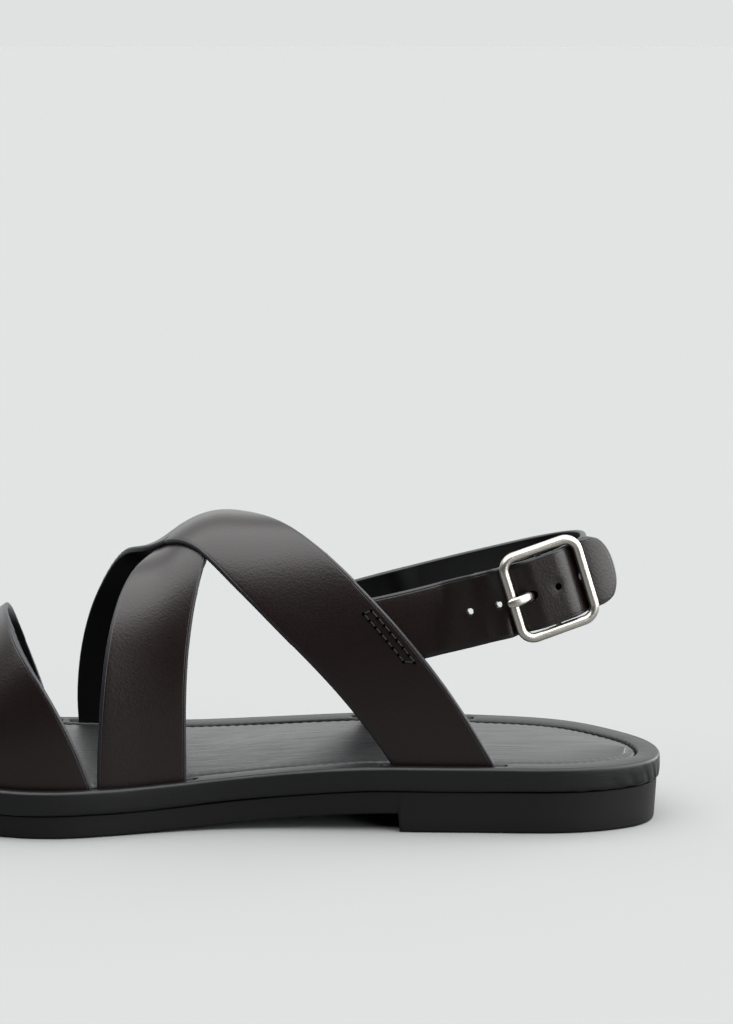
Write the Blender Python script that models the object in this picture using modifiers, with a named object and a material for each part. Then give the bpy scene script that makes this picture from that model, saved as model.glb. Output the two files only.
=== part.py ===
"""Left cross strap sandal: a leather-wrapped footbed on a rubber sole, leather straps and a square buckle.

Metres. +X runs from heel to toe, +Y to the outer side of the foot, +Z up, and the floor is z = 0.
Sizes are laid out from the back of the heel, at x = 0, and one empty then carries every piece so that
the middle of the sole lies over the origin.
"""

import math

import bmesh
import bpy
import numpy as np
from mathutils import Matrix

# Sole: outline, heights and walls
SOLE_LENGTH = 0.290
BALL_WIDTH = 0.098
WAIST_WIDTH = 0.074
HEEL_WIDTH = 0.071
HEEL_BREAST = 0.090
HEEL_LIFT = 0.0065
BALL_LINE = 0.186
SPRING_LINE = 0.216
TOE_SPRING = 0.0070
OUTSOLE_THICKNESS = 0.0082
OUTSOLE_SETBACK = 0.0008
HEEL_TAPER = 0.0007
TREAD_EDGE = 0.0010
BREAST_DRAFT = 0.0006

# Footbed: the wrapped rim, the slots in it and the sock inside it
MIDSOLE_THICKNESS = 0.0084
RIM_EDGE = 0.0014
RIM_WIDTH = 0.0082
RIM_DIP = 0.0009
RECESS_DEPTH = 0.0030
INSOLE_CROWN = 0.0007
INSOLE_EDGE = 0.0010
GAP = 0.0003
SLOT_END = 0.0022
SLOT_DRAFT = 0.0030

# Last: the form that the straps are drawn over, measured above the footbed
INSTEP_HEIGHT = 0.0782
STRAP_INSET = 0.0060
FOOT_TURN = math.radians(2.0)
LAST_BLEND = 0.03
TAIL_LENGTH = 0.045
TAIL_STEPS = 60

# Straps of the upper, with their feet's places along the sole
STRAP_THICKNESS = 0.0022
CROSS_STRAP_WIDTH = 0.0335
CROSS_OVERLAP = 0.0005
OVER_EASE = 1.5
OVER_BOW = 0.0050
UNDER_EASE = 2.55
UNDER_BOW = -0.0015
OVER_INNER_FOOT = 0.1970
OVER_OUTER_FOOT = 0.0775
UNDER_OUTER_FOOT = 0.1778
UNDER_INNER_FOOT = 0.0900
TOE_STRAP_WIDTH = 0.0360
TOE_STRAP_OUTER_FOOT = 0.2146
TOE_STRAP_INNER_FOOT = 0.2405
TOE_STRAP_BOW = 0.0177

# Ankle loop: the strap with the holes and the strap round the heel
ANKLE_STRAP_WIDTH = 0.0240
HEEL_STRAP_WIDTH = 0.0210
LOOP_REAR = 0.0235
LOOP_WIDEST = 0.0600
LOOP_HALF_WIDTH = 0.0302
LOOP_DRAW_IN = 0.0050
LOOP_ROUNDNESS = 2.8
OUTER_JOINT = 0.0885
OUTER_JOINT_HEIGHT = 0.0699
INNER_JOINT = 0.1090
INNER_JOINT_HEIGHT = 0.0655
OUTER_TILT = math.radians(17.3)
INNER_TILT = math.radians(13.5)
JOINT_TUCK = 0.0110
JOINT_GAP = 0.0005
SEAT_LENGTH = 0.0240
SEAT_BLEND = 0.0140
SEAT_DROP = 0.19
LOOP_LEAN = math.radians(6.0)
TIP_LENGTH = 0.0250
TIP_ROUND = 0.0100
TIP_SQUARENESS = 2.4
TIP_CUT = 0.02
TIP_CURL = 0.0020

# Buckle: a rounded square of wire, a sunken bar across its middle and a flat prong
BUCKLE_PLACE = 0.0405
BUCKLE_LENGTH = 0.0300
BUCKLE_WIRE = 0.0033
BUCKLE_CORNER = 0.0040
BUCKLE_CLEARANCE = 0.0006
BAR_WIRE = 0.0022
BAR_DROP = 0.0038
PRONG_WIDTH = 0.0028
PRONG_THICKNESS = 0.0018
PRONG_OVERHANG = 0.0024
PRONG_NOSE_DROP = 0.0004
HOLE_DIAMETER = 0.0023
HOLE_PITCH = 0.0105
PRONG_HOLE_PLACE = 0.0075
PRONG_SLOT_LENGTH = 0.0056
PUNCH_LENGTH = 0.0160
HUMP_SLOPE = 0.65
FOLD_THICKNESS = 0.0012
FOLD_WIDTH = 0.0200
FOLD_RETURN = 0.0042
FOLD_APPROACH = 0.0120
EYE_SLOT_ROOM = 0.0034
EYE_SLOT_DEPTH = 0.0074

# The sole's outline: each row is a station from heel to toe.
# Columns: share of SOLE_LENGTH, width that the row follows, share of it outwards, share of it inwards
OUTLINE = (
    (0.000, HEEL_WIDTH, 0.140, -0.140),
    (0.012, HEEL_WIDTH, 0.300, 0.050),
    (0.045, HEEL_WIDTH, 0.405, 0.215),
    (0.100, HEEL_WIDTH, 0.480, 0.385),
    (0.200, HEEL_WIDTH, 0.503, 0.485),
    (0.320, WAIST_WIDTH, 0.487, 0.500),
    (0.430, WAIST_WIDTH, 0.480, 0.535),
    (0.520, WAIST_WIDTH, 0.495, 0.588),
    (0.620, BALL_WIDTH, 0.437, 0.475),
    (0.710, BALL_WIDTH, 0.500, 0.496),
    (0.790, BALL_WIDTH, 0.475, 0.490),
    (0.870, BALL_WIDTH, 0.375, 0.440),
    (0.935, BALL_WIDTH, 0.235, 0.345),
    (0.980, BALL_WIDTH, 0.080, 0.225),
    (1.000, BALL_WIDTH, -0.070, 0.070),
)

# The last's sections. Columns: share of SOLE_LENGTH, share of INSTEP_HEIGHT, squareness of the section
LAST = (
    (0.20, 1.10, 2.2),
    (0.30, 1.05, 2.3),
    (0.40, 1.00, 2.3),
    (0.48, 1.015, 2.4),
    (0.55, 1.055, 2.5),
    (0.62, 0.86, 2.5),
    (0.70, 1.06, 2.5),
    (0.74, 0.89, 2.4),
    (0.78, 0.68, 2.4),
    (0.85, 0.51, 2.3),
    (0.92, 0.38, 2.3),
)

# Width along a cross strap, from its front foot to its rear foot.
# Columns: share of the way, share of CROSS_STRAP_WIDTH
CROSS_WIDTHS = (
    (0.00, 0.92),
    (0.30, 0.77),
    (0.75, 0.92),
    (1.00, 0.91),
)

# The prong's climb through the ankle strap.
# Columns: place ahead of its hole as a share of PRONG_SLOT_LENGTH, share of the climb over the front bar
PRONG_CLIMB = (
    (-0.80, 0.00),
    (-0.43, 0.03),
    (-0.09, 0.39),
    (0.25, 0.76),
    (0.61, 1.00),
)


def smoothstep(share):
    share = np.clip(share, 0.0, 1.0)
    return share * share * (3.0 - 2.0 * share)


def closed_spline(points, samples_a_span=24):
    """A smooth closed curve through the points: a periodic cubic with chord length between its knots."""
    points = np.asarray(points, float)
    count = len(points)
    steps = np.linalg.norm(np.roll(points, -1, axis=0) - points, axis=1)
    matrix = np.zeros((count, count))
    slopes = np.zeros_like(points)
    for i in range(count):
        before, after = steps[i - 1], steps[i]
        matrix[i, i - 1] = after
        matrix[i, i] = 2.0 * (before + after)
        matrix[i, (i + 1) % count] = before
        rise_before = (points[i] - points[i - 1]) / before
        rise_after = (points[(i + 1) % count] - points[i]) / after
        slopes[i] = 3.0 * (after * rise_before + before * rise_after)
    slopes = np.linalg.solve(matrix, slopes)
    share = np.linspace(0.0, 1.0, samples_a_span, endpoint=False)[:, None]
    spans = []
    for i in range(count):
        j = (i + 1) % count
        spans.append(
            (2 * share**3 - 3 * share**2 + 1) * points[i]
            + (share**3 - 2 * share**2 + share) * steps[i] * slopes[i]
            + (3 * share**2 - 2 * share**3) * points[j]
            + (share**3 - share**2) * steps[i] * slopes[j]
        )
    return np.concatenate(spans)


def outline_sides():
    """The sole's dense outline, as the outer and the inner side from heel to toe."""
    outer = [(row[0] * SOLE_LENGTH, row[2] * row[1]) for row in OUTLINE]
    inner = [(row[0] * SOLE_LENGTH, -row[3] * row[1]) for row in OUTLINE]
    curve = closed_spline(outer + inner[-2:0:-1])
    toe = int(np.argmax(curve[:, 0]))
    heel = int(np.argmin(curve[:, 0]))
    curve = np.roll(curve, -heel, axis=0)
    toe = (toe - heel) % len(curve)
    return curve[: toe + 1], np.vstack([curve[toe:], curve[:1]])[::-1]


OUTER_SIDE, INNER_SIDE = outline_sides()


def side_y(x, outer):
    side = OUTER_SIDE if outer else INNER_SIDE
    return np.interp(x, side[:, 0], side[:, 1])


def inset_ring(inset):
    """The outline moved inwards: points at the stations, out on the outer side and back on the inner."""
    stations = sole_stations()
    outer = np.column_stack([stations, side_y(stations, True)])
    inner = np.column_stack([stations, side_y(stations, False)])
    ring = np.vstack([outer, inner[-2:0:-1]])
    along = np.roll(ring, -1, axis=0) - np.roll(ring, 1, axis=0)
    along /= np.linalg.norm(along, axis=1)[:, None]
    inwards = np.column_stack([along[:, 1], -along[:, 0]])
    return ring + inwards * inset


def arch_rise(x):
    """How far the sole's layers stand above their level at the ball: up to the heel, and up to the toe."""
    heel = HEEL_LIFT * smoothstep((BALL_LINE - x) / (BALL_LINE - HEEL_BREAST))
    toe = TOE_SPRING * np.clip((x - SPRING_LINE) / (SOLE_LENGTH - SPRING_LINE), 0.0, 1.0) ** 2
    return heel + toe


def outsole_bottom(x):
    """The tread: flat under the heel, straight up at the heel's breast, then the arch."""
    breast = np.clip((x - HEEL_BREAST + BREAST_DRAFT / 2) / BREAST_DRAFT, 0.0, 1.0)
    return arch_rise(x) * breast


def outsole_top(x):
    return arch_rise(x) + OUTSOLE_THICKNESS


def footbed_top(x):
    return outsole_top(x) + GAP + MIDSOLE_THICKNESS


def sole_stations(count=36):
    """Stations from heel to toe, close together at both round ends and at the heel's breast."""
    round_ends = SOLE_LENGTH * (1.0 - np.cos(np.linspace(0.0, math.pi, count))) / 2.0
    breast = [HEEL_BREAST - BREAST_DRAFT / 2, HEEL_BREAST + BREAST_DRAFT / 2]
    apart = np.abs(round_ends[:, None] - np.array(breast)).min(axis=1) > 2 * BREAST_DRAFT
    return np.sort(np.concatenate([round_ends[apart], breast]))


def mesh_object(name, points, faces, material, collection):
    mesh = bpy.data.meshes.new(name)
    mesh.from_pydata([tuple(p) for p in points], [], faces)
    mesh.validate()
    mesh.update()
    mesh.materials.append(material)
    made = bpy.data.objects.new(name, mesh)
    collection.objects.link(made)
    return made


def lofted_slab(name, rings, material):
    """A sole layer: rings from its bottom's edge up the wall to its top's, closed from side to side."""
    rings = np.asarray(rings)
    levels, count = rings.shape[:2]
    half = count // 2
    faces = []
    for level in range(levels - 1):
        low, high = level * count, (level + 1) * count
        for i in range(count):
            j = (i + 1) % count
            faces.append((low + i, high + i, high + j, low + j))
    last = (levels - 1) * count
    for i in range(half):
        outer, outer_next = i, i + 1
        inner, inner_next = (count - i) % count, count - i - 1
        if outer == inner:
            faces.append((outer, outer_next, inner_next))
            faces.append((last + outer, last + inner_next, last + outer_next))
        elif outer_next == inner_next:
            faces.append((inner, outer, outer_next))
            faces.append((last + inner, last + outer_next, last + outer))
        else:
            faces.append((inner, outer, outer_next, inner_next))
            faces.append((last + inner, last + inner_next, last + outer_next, last + outer))
    return mesh_object(name, rings.reshape(-1, 3), faces, material, PARTS)


def level_ring(inset, height):
    """A ring at an inset from the outline, at height(x)."""
    flat = inset_ring(inset)
    return np.column_stack([flat, height(flat[:, 0])])


def last_form(x):
    """The last at a station: middle and half of its width, its footbed, its height and its squareness."""
    outer = side_y(x, True) - STRAP_INSET
    inner = side_y(x, False) + STRAP_INSET
    table = np.array(LAST)
    height = smooth_table(x / SOLE_LENGTH, table[:, 0], table[:, 1]) * INSTEP_HEIGHT
    power = np.interp(x / SOLE_LENGTH, table[:, 0], table[:, 2])
    return (outer + inner) / 2, (outer - inner) / 2, footbed_top(x), height, power


def smooth_table(at, places, values):
    """A table's value with its corners rounded off: the mean of its straight lines over a window."""
    window = np.linspace(-LAST_BLEND, LAST_BLEND, 13)
    return np.mean([np.interp(at + w, places, values) for w in window], axis=0)


def last_point(x, turn):
    """A point of the last: turn 0 is its outer feather line, half a turn its inner one."""
    middle, half, footbed, height, power = last_form(x)
    y = middle + half * np.sign(np.cos(turn)) * np.abs(np.cos(turn)) ** (2 / power)
    z = footbed + height * np.abs(np.sin(turn)) ** (2 / power)
    return np.stack([x + 0.0 * y, y, z], axis=-1)


def onto_last(points):
    """Points moved in their own cross section onto the last, or onto upright sides below the footbed."""
    middle, half, footbed, height, power = last_form(points[..., 0])
    across = (points[..., 1] - middle) / half
    up = (points[..., 2] - footbed) / height
    scale = (np.abs(across) ** power + np.maximum(up, 0.0) ** power) ** (1 / power)
    moved = points.copy()
    moved[..., 1] = middle + half * across / scale
    moved[..., 2] = np.where(up > 0, footbed + height * up / scale, points[..., 2])
    return moved


def last_side(x, z, outer):
    """The last's y at a height on its outer or inner side."""
    middle, half, footbed, height, power = last_form(x)
    up = np.clip((z - footbed) / height, 0.0, 0.98)
    reach = half * (1 - up**power) ** (1 / power)
    return middle + reach if outer else middle - reach


def unit(vectors):
    return vectors / np.linalg.norm(vectors, axis=-1, keepdims=True)


def last_strap(outer_x, inner_x, front_is_outer, ease, bow=0.0, samples=241):
    """A strap over the last, front foot to rear foot: shares, centre line, directions, outward normals."""
    share = np.linspace(0.0, 1.0, samples)
    front, rear = (outer_x, inner_x) if front_is_outer else (inner_x, outer_x)
    x = front + (rear - front) * share**ease + bow * 4 * share * (1 - share)
    turn = FOOT_TURN + (math.pi - 2 * FOOT_TURN) * (share if front_is_outer else 1.0 - share)
    centre = last_point(x, turn)
    small = 1e-4
    along_last = last_point(x + small, turn) - last_point(x - small, turn)
    around_last = last_point(x, turn + small) - last_point(x, turn - small)
    normal = unit(np.cross(around_last, along_last))
    along = unit(np.gradient(centre, axis=0))
    normal = unit(normal - np.sum(normal * along, axis=1, keepdims=True) * along)
    return share, centre, along, normal


def strap_rails(frames, width, lift, rails):
    """Dense lines along a strap's inner face, laid on the last, each running on below both of its feet."""
    share, centre, along, normal = frames
    across = np.cross(normal, along)
    steps = np.linspace(0.0, TAIL_LENGTH, TAIL_STEPS + 1)[1:, None]
    centre = np.vstack([centre[0] - steps[::-1] * along[0], centre, centre[-1] + steps * along[-1]])
    pad = ((len(steps), len(steps)), (0, 0))
    across = np.pad(across, pad, mode="edge")
    normal = np.pad(normal, pad, mode="edge")
    half = np.pad(width(share) / 2, len(steps), mode="edge")[:, None]
    raised = np.pad(lift(share), len(steps), mode="edge")[:, None]
    places = np.linspace(-1.0, 1.0, rails)
    return [onto_last(upright_tails(centre + across * place * half)) + normal * raised for place in places]


def upright_tails(rail):
    """A rail that turns straight down where it passes below the footbed."""
    above = np.flatnonzero(rail[:, 2] > footbed_top(rail[:, 0]))
    turned = rail.copy()
    turned[: above[0], 0] = rail[above[0], 0]
    turned[above[-1] + 1 :, 0] = rail[above[-1], 0]
    return turned


def stretch(rail, start, end, rows):
    """A rail cut to the stretch between two of its lengths, in even steps."""
    steps = np.linalg.norm(np.diff(rail, axis=0), axis=1)
    length = np.concatenate([[0.0], np.cumsum(steps)])
    ends = np.interp([start, end], range(len(rail)), length)
    at = np.linspace(ends[0], ends[1], rows)
    return np.column_stack([np.interp(at, length, rail[:, axis]) for axis in range(3)])


def crossing(rail, height, first):
    """Where a rail rises through height(x), or falls through it, as a fractional index."""
    above = rail[:, 2] - height(rail[:, 0])
    if first:
        i = int(np.argmax(above > 0))
        return i - above[i] / (above[i] - above[i - 1])
    i = len(above) - 1 - int(np.argmax(above[::-1] > 0))
    return i + above[i] / (above[i] - above[i + 1])


def strap_grid(frames, width, lift, rows, rails=7):
    """A strap's inner face from slot to slot."""
    grid = [stretch(rail, crossing(rail, strap_end, True), crossing(rail, strap_end, False), rows)
            for rail in strap_rails(frames, width, lift, rails)]
    return np.array(grid)


def slot_grid(frames, width, first, rails=7):
    """The inner wall of the slot that a strap's foot stands in, longer than the strap at both ends."""
    def wide(share):
        return width(share) + 2 * SLOT_END

    def tight(share):
        return -GAP + 0.0 * share

    def low(x):
        return outsole_top(x) - SLOT_DRAFT

    def high(x):
        return footbed_top(x) + SLOT_DRAFT

    grid = []
    for rail in strap_rails(frames, wide, tight, rails):
        ends = crossing(rail, low, first), crossing(rail, high, first)
        grid.append(stretch(rail, ends[0], ends[1], 4))
    return np.array(grid)


def strap_end(x):
    """Straps end level with the underside of the midsole."""
    return outsole_top(x) + GAP


def sheet_object(name, grid, outward, material, collection):
    """An open sheet with a face for each square of the grid, turned so that its normals follow outward."""
    rails, rows = grid.shape[:2]
    middle = grid[rails // 2, rows // 2]
    a = grid[rails // 2, rows // 2 - 1] - middle
    b = grid[rails // 2 - 1, rows // 2] - middle
    flip = np.dot(np.cross(a, b), outward) > 0
    faces = []
    for i in range(rails - 1):
        for j in range(rows - 1):
            corner = i * rows + j
            face = (corner, corner + rows, corner + rows + 1, corner + 1)
            faces.append(face[::-1] if flip else face)
    return mesh_object(name, grid.reshape(-1, 3), faces, material, collection)


def thicken(sheet, thickness, offset=1.0):
    solid = sheet.modifiers.new("thickness", "SOLIDIFY")
    solid.thickness = thickness
    solid.offset = offset
    solid.use_even_offset = True
    return solid


def boolean(target, other, operation):
    cut = target.modifiers.new(other.name, "BOOLEAN")
    cut.operation = operation
    cut.object = other
    cut.solver = "EXACT"


def as_cutter(cutter):
    cutter.hide_render = True
    cutter.display_type = "WIRE"
    return cutter


def plain_material(name, colour, roughness, metallic=0.0):
    material = bpy.data.materials.new(name)
    material.use_nodes = True
    shader = material.node_tree.nodes["Principled BSDF"]
    shader.inputs["Base Color"].default_value = (*colour, 1.0)
    shader.inputs["Roughness"].default_value = roughness
    shader.inputs["Metallic"].default_value = metallic
    return material


def new_collection(name):
    made = bpy.data.collections.new(name)
    bpy.context.scene.collection.children.link(made)
    return made


for old in list(bpy.data.objects):
    bpy.data.objects.remove(old)
PARTS = new_collection("cross_strap_sandal")
CUTTERS = new_collection("cutters")
BROWN_LEATHER = plain_material("brown_leather", (0.020, 0.013, 0.012), 0.45)
BLACK_LEATHER = plain_material("black_leather", (0.012, 0.012, 0.014), 0.5)
BLACK_RUBBER = plain_material("black_rubber", (0.008, 0.008, 0.009), 0.6)
NICKEL = plain_material("nickel", (0.62, 0.60, 0.56), 0.3, 1.0)
UP = np.array([0.0, 0.0, 1.0])
SMOOTH_ANGLE = math.radians(35.0)


def cross_width(share):
    table = np.array(CROSS_WIDTHS)
    return np.interp(share, table[:, 0], table[:, 1]) * CROSS_STRAP_WIDTH


def toe_width(share):
    return TOE_STRAP_WIDTH + 0.0 * share


def level(share):
    return 0.0 * share


def raised(share):
    """The over strap's lift: it climbs onto the under strap and comes down again."""
    up = smoothstep((share - 0.12) / 0.24)
    down = smoothstep((0.92 - share) / 0.25)
    return (STRAP_THICKNESS - CROSS_OVERLAP) * up * down


def over_frames():
    return last_strap(OVER_OUTER_FOOT, OVER_INNER_FOOT, False, OVER_EASE, OVER_BOW)


def under_frames():
    return last_strap(UNDER_OUTER_FOOT, UNDER_INNER_FOOT, True, UNDER_EASE, UNDER_BOW)


def toe_frames():
    return last_strap(TOE_STRAP_OUTER_FOOT, TOE_STRAP_INNER_FOOT, True, 1.0, TOE_STRAP_BOW)


def make_outsole():
    def wall(inset, rise):
        return level_ring(OUTSOLE_SETBACK + inset, lambda x: outsole_bottom(x) + rise)

    rings = [
        wall(HEEL_TAPER + TREAD_EDGE, 0.0),
        wall(HEEL_TAPER, TREAD_EDGE),
        level_ring(OUTSOLE_SETBACK, outsole_top),
    ]
    lofted_slab("outsole", rings, BLACK_RUBBER)


def make_midsole():
    def top(drop):
        return lambda x: footbed_top(x) - drop

    def bottom(rise):
        return lambda x: outsole_top(x) + GAP + rise

    rings = [
        level_ring(RIM_EDGE / 2, bottom(0.0)),
        level_ring(0.0, bottom(RIM_EDGE / 2)),
        level_ring(0.0, top(RIM_EDGE)),
        level_ring(RIM_EDGE * 0.3, top(RIM_EDGE * 0.3)),
        level_ring(RIM_EDGE, top(0.0)),
        level_ring(RIM_WIDTH - RIM_EDGE, top(0.0)),
        level_ring(RIM_WIDTH, top(RIM_DIP)),
        level_ring(RIM_WIDTH, top(RECESS_DEPTH)),
    ]
    midsole = lofted_slab("midsole", rings, BLACK_LEATHER)
    straps = (
        ("over", over_frames(), cross_width),
        ("under", under_frames(), cross_width),
        ("toe", toe_frames(), toe_width),
    )
    for name, frames, width in straps:
        for end, first in (("front", True), ("rear", False)):
            grid = slot_grid(frames, width, first)
            outward = frames[3][0] if first else frames[3][-1]
            slot = sheet_object(f"slot_{name}_{end}", grid, outward, BLACK_LEATHER, CUTTERS)
            thicken(slot, STRAP_THICKNESS + 2 * GAP)
            boolean(midsole, as_cutter(slot), "DIFFERENCE")


def make_insole():
    def under(x):
        return footbed_top(x) - RECESS_DEPTH + GAP

    def over(x):
        return footbed_top(x) - RIM_DIP

    edge = RIM_WIDTH + GAP
    rings = [
        level_ring(edge, under),
        level_ring(edge, lambda x: over(x) - INSOLE_EDGE),
        level_ring(edge + INSOLE_EDGE, over),
    ]
    border = rings[-1]
    count = len(border)
    opposite = border[(count - np.arange(count)) % count]
    middle = (border + opposite) / 2
    for share in (0.25, 0.6):
        ring = border * (1 - share) + middle * share
        ring[:, 2] += INSOLE_CROWN * math.sin(share * math.pi / 2)
        rings.append(ring)
    lofted_slab("insole", rings, BLACK_LEATHER)


def make_upper():
    """The two cross straps, the over one let into the under one where they cross."""
    over = sheet_object("upper", strap_grid(over_frames(), cross_width, raised, 61), UP, BROWN_LEATHER, PARTS)
    thicken(over, STRAP_THICKNESS)
    under = strap_grid(under_frames(), cross_width, level, 53)
    under = sheet_object("under_strap", under, UP, BROWN_LEATHER, CUTTERS)
    thicken(under, STRAP_THICKNESS)
    boolean(over, as_cutter(under), "UNION")


def make_toe_strap():
    grid = strap_grid(toe_frames(), toe_width, level, 45)
    thicken(sheet_object("toe_strap", grid, UP, BROWN_LEATHER, PARTS), STRAP_THICKNESS)


def ankle_loop(tip_straight, samples=401):
    """The ankle straps' middle line, from the inner joint round the heel to the outer joint.

    In plan it is the rear half of a superellipse, and ahead of it each side draws in along a parabola to its
    joint. Both sides rise to the rear, and one passes into the other round the heel. The line is straight
    ahead of the buckle's middle bar. Behind the bar it either carries straight on, for the ankle strap's
    tip, or bends away round the heel. The answer holds the buckle's length along the line, then the
    lengths, points, directions, outward normals and upward directions.
    """
    sweep = np.linspace(-math.pi / 2, math.pi / 2, samples)
    power = 2 / LOOP_ROUNDNESS
    x = LOOP_WIDEST - (LOOP_WIDEST - LOOP_REAR) * np.cos(sweep) ** power
    y = LOOP_HALF_WIDTH * np.sign(sweep) * np.abs(np.sin(sweep)) ** power
    ahead = np.linspace(0.0, 1.0, 30)[1:]
    inner_x = LOOP_WIDEST + (INNER_JOINT + JOINT_TUCK - LOOP_WIDEST) * ahead[::-1]
    outer_x = LOOP_WIDEST + (OUTER_JOINT + JOINT_TUCK - LOOP_WIDEST) * ahead
    inner_y = LOOP_DRAW_IN * ((inner_x - LOOP_WIDEST) / (INNER_JOINT - LOOP_WIDEST)) ** 2 - LOOP_HALF_WIDTH
    outer_y = LOOP_HALF_WIDTH - LOOP_DRAW_IN * ((outer_x - LOOP_WIDEST) / (OUTER_JOINT - LOOP_WIDEST)) ** 2
    x = np.concatenate([inner_x, x, outer_x])
    y = np.concatenate([inner_y, y, outer_y])
    plan = np.column_stack([x, y])
    length = np.concatenate([[0.0], np.cumsum(np.linalg.norm(np.diff(plan, axis=0), axis=1))])
    even = np.linspace(0.0, length[-1], samples)
    x, y = (np.interp(even, length, values) for values in (x, y))

    buckle = even[y > 0][np.argmin(np.abs(x[y > 0] - BUCKLE_PLACE))]
    inner = INNER_JOINT_HEIGHT + math.tan(INNER_TILT) * (INNER_JOINT - x)
    outer = OUTER_JOINT_HEIGHT + math.tan(OUTER_TILT) * (OUTER_JOINT - x)
    z = inner + (outer - inner) * smoothstep((y / LOOP_HALF_WIDTH + 1) / 2)
    centre = np.column_stack([x, y, z])
    run = even - buckle
    at_bar = np.argmin(np.abs(run))
    tangent = unit(np.gradient(centre, even, axis=0)[at_bar])
    middle = centre[at_bar]
    ahead = smoothstep((BUCKLE_LENGTH * 0.75 - run) / (BUCKLE_LENGTH * 0.25))
    behind = 1.0 if tip_straight else smoothstep((BUCKLE_LENGTH * 0.75 + run) / (BUCKLE_LENGTH * 0.75))
    straight = np.where(run > 0, ahead, behind)[:, None]
    centre = centre * (1 - straight) + (middle + run[:, None] * tangent) * straight
    even = np.concatenate([[0.0], np.cumsum(np.linalg.norm(np.diff(centre, axis=0), axis=1))])
    buckle = even[np.argmin(np.abs(run))]
    along = unit(np.gradient(centre, axis=0))
    normal = unit(np.cross(UP, along))
    normal = unit(normal * math.cos(LOOP_LEAN) + UP * math.sin(LOOP_LEAN))
    normal = unit(normal - np.sum(normal * along, axis=1, keepdims=True) * along)
    upward = np.cross(along, normal)
    upward *= np.sign(upward[:, 2:])
    return buckle, even, centre, along, normal, upward


def on_loop(loop, run, aside):
    """Points at run along the loop from the buckle's middle, moved outwards by aside, and directions there."""
    buckle, length, *columns = loop
    at = buckle + run
    centre, along, normal, upward = (
        np.column_stack([np.interp(at, length, column[:, axis]) for axis in range(3)]) for column in columns
    )
    return centre + normal * np.reshape(aside, (-1, 1)), along, normal, upward


def loop_grid(centre, upward, width, rails=5):
    """A strap carried along a line, straight across."""
    places = np.linspace(-0.5, 0.5, rails)
    return np.array([centre + upward * (place * width)[:, None] for place in places])


def seat_inside(grid, outer):
    """The strap's front end moved sideways to lie against the inside of the strap that holds it."""
    joint = OUTER_JOINT if outer else INNER_JOINT
    weight = smoothstep((grid[..., 0] - joint + SEAT_LENGTH) / SEAT_BLEND) * ((grid[..., 1] > 0) == outer)
    x, z = grid[..., 0], grid[..., 2]
    slope = (last_side(x, z + GAP, outer) - last_side(x, z - GAP, outer)) / (2 * GAP)
    inwards = (STRAP_THICKNESS / 2 + JOINT_GAP) * np.sqrt(1 + slope**2)
    seated = last_side(x, z, outer) - (inwards if outer else -inwards)
    moved = grid.copy()
    aside = weight * (seated - grid[..., 1])
    moved[..., 1] += aside
    moved[..., 2] += SEAT_DROP * aside
    return moved


def buckle_plane():
    """How far the buckle's plane lies outside the ankle strap's middle, where its bars cross the strap."""
    return BUCKLE_WIRE / 2 + GAP + STRAP_THICKNESS / 2


def strap_hump(run):
    """The ankle strap's rise over the prong's eye on the middle bar."""
    eye = BAR_WIRE / 2 + GAP + PRONG_THICKNESS
    rise = buckle_plane() - BAR_DROP + eye + GAP + STRAP_THICKNESS / 2
    bar = BUCKLE_LENGTH / 2 - BUCKLE_WIRE
    return rise * smoothstep((bar + BAR_WIRE / 2 - np.abs(run)) / (bar * HUMP_SLOPE))


def make_ankle_strap(loop):
    buckle, length = loop[:2]
    bend = BUCKLE_LENGTH * 0.6
    run = np.concatenate([np.linspace(-TIP_LENGTH, -bend, 11)[:-1], np.linspace(-bend, bend, 25),
                          np.linspace(bend, length[-1] - buckle, 16)[1:]])
    tip = np.clip((run + TIP_LENGTH) / TIP_ROUND, TIP_CUT, 1.0)
    width = ANKLE_STRAP_WIDTH * (1 - (1 - tip) ** TIP_SQUARENESS) ** (1 / TIP_SQUARENESS)
    curl = TIP_CURL * np.clip((-run - BUCKLE_LENGTH / 2) / (TIP_LENGTH - BUCKLE_LENGTH / 2), 0.0, 1.0) ** 2
    centre, along, normal, upward = on_loop(loop, run, strap_hump(run) - curl)
    grid = seat_inside(loop_grid(centre, upward, width), True)
    strap = sheet_object("ankle_strap", grid, normal[len(run) // 2], BROWN_LEATHER, PARTS)
    thicken(strap, STRAP_THICKNESS, 0.0)
    own = np.concatenate([[0.0], np.cumsum(np.linalg.norm(np.diff(centre, axis=0), axis=1))])
    prong_hole = np.interp(PRONG_HOLE_PLACE, run, own)
    places = np.interp(prong_hole + HOLE_PITCH * np.array([-2, -1, 1, 2]), own, run)
    boolean(strap, as_cutter(hole_punches(loop, places)), "DIFFERENCE")


def loop_matrix(loop, run, aside):
    """Where a local box or punch stands: its x along the strap, its y up and its z out of the strap."""
    point, along, normal, upward = (value[0] for value in on_loop(loop, np.array([run]), aside))
    matrix = np.eye(4)
    matrix[:3, 0] = along
    matrix[:3, 1] = np.cross(normal, along)
    matrix[:3, 2] = normal
    matrix[:3, 3] = point
    return matrix


def bmesh_object(name, shape, matrix, material, collection):
    mesh = bpy.data.meshes.new(name)
    shape.to_mesh(mesh)
    shape.free()
    mesh.transform(Matrix(matrix.tolist()))
    mesh.materials.append(material)
    made = bpy.data.objects.new(name, mesh)
    collection.objects.link(made)
    return made


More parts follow.
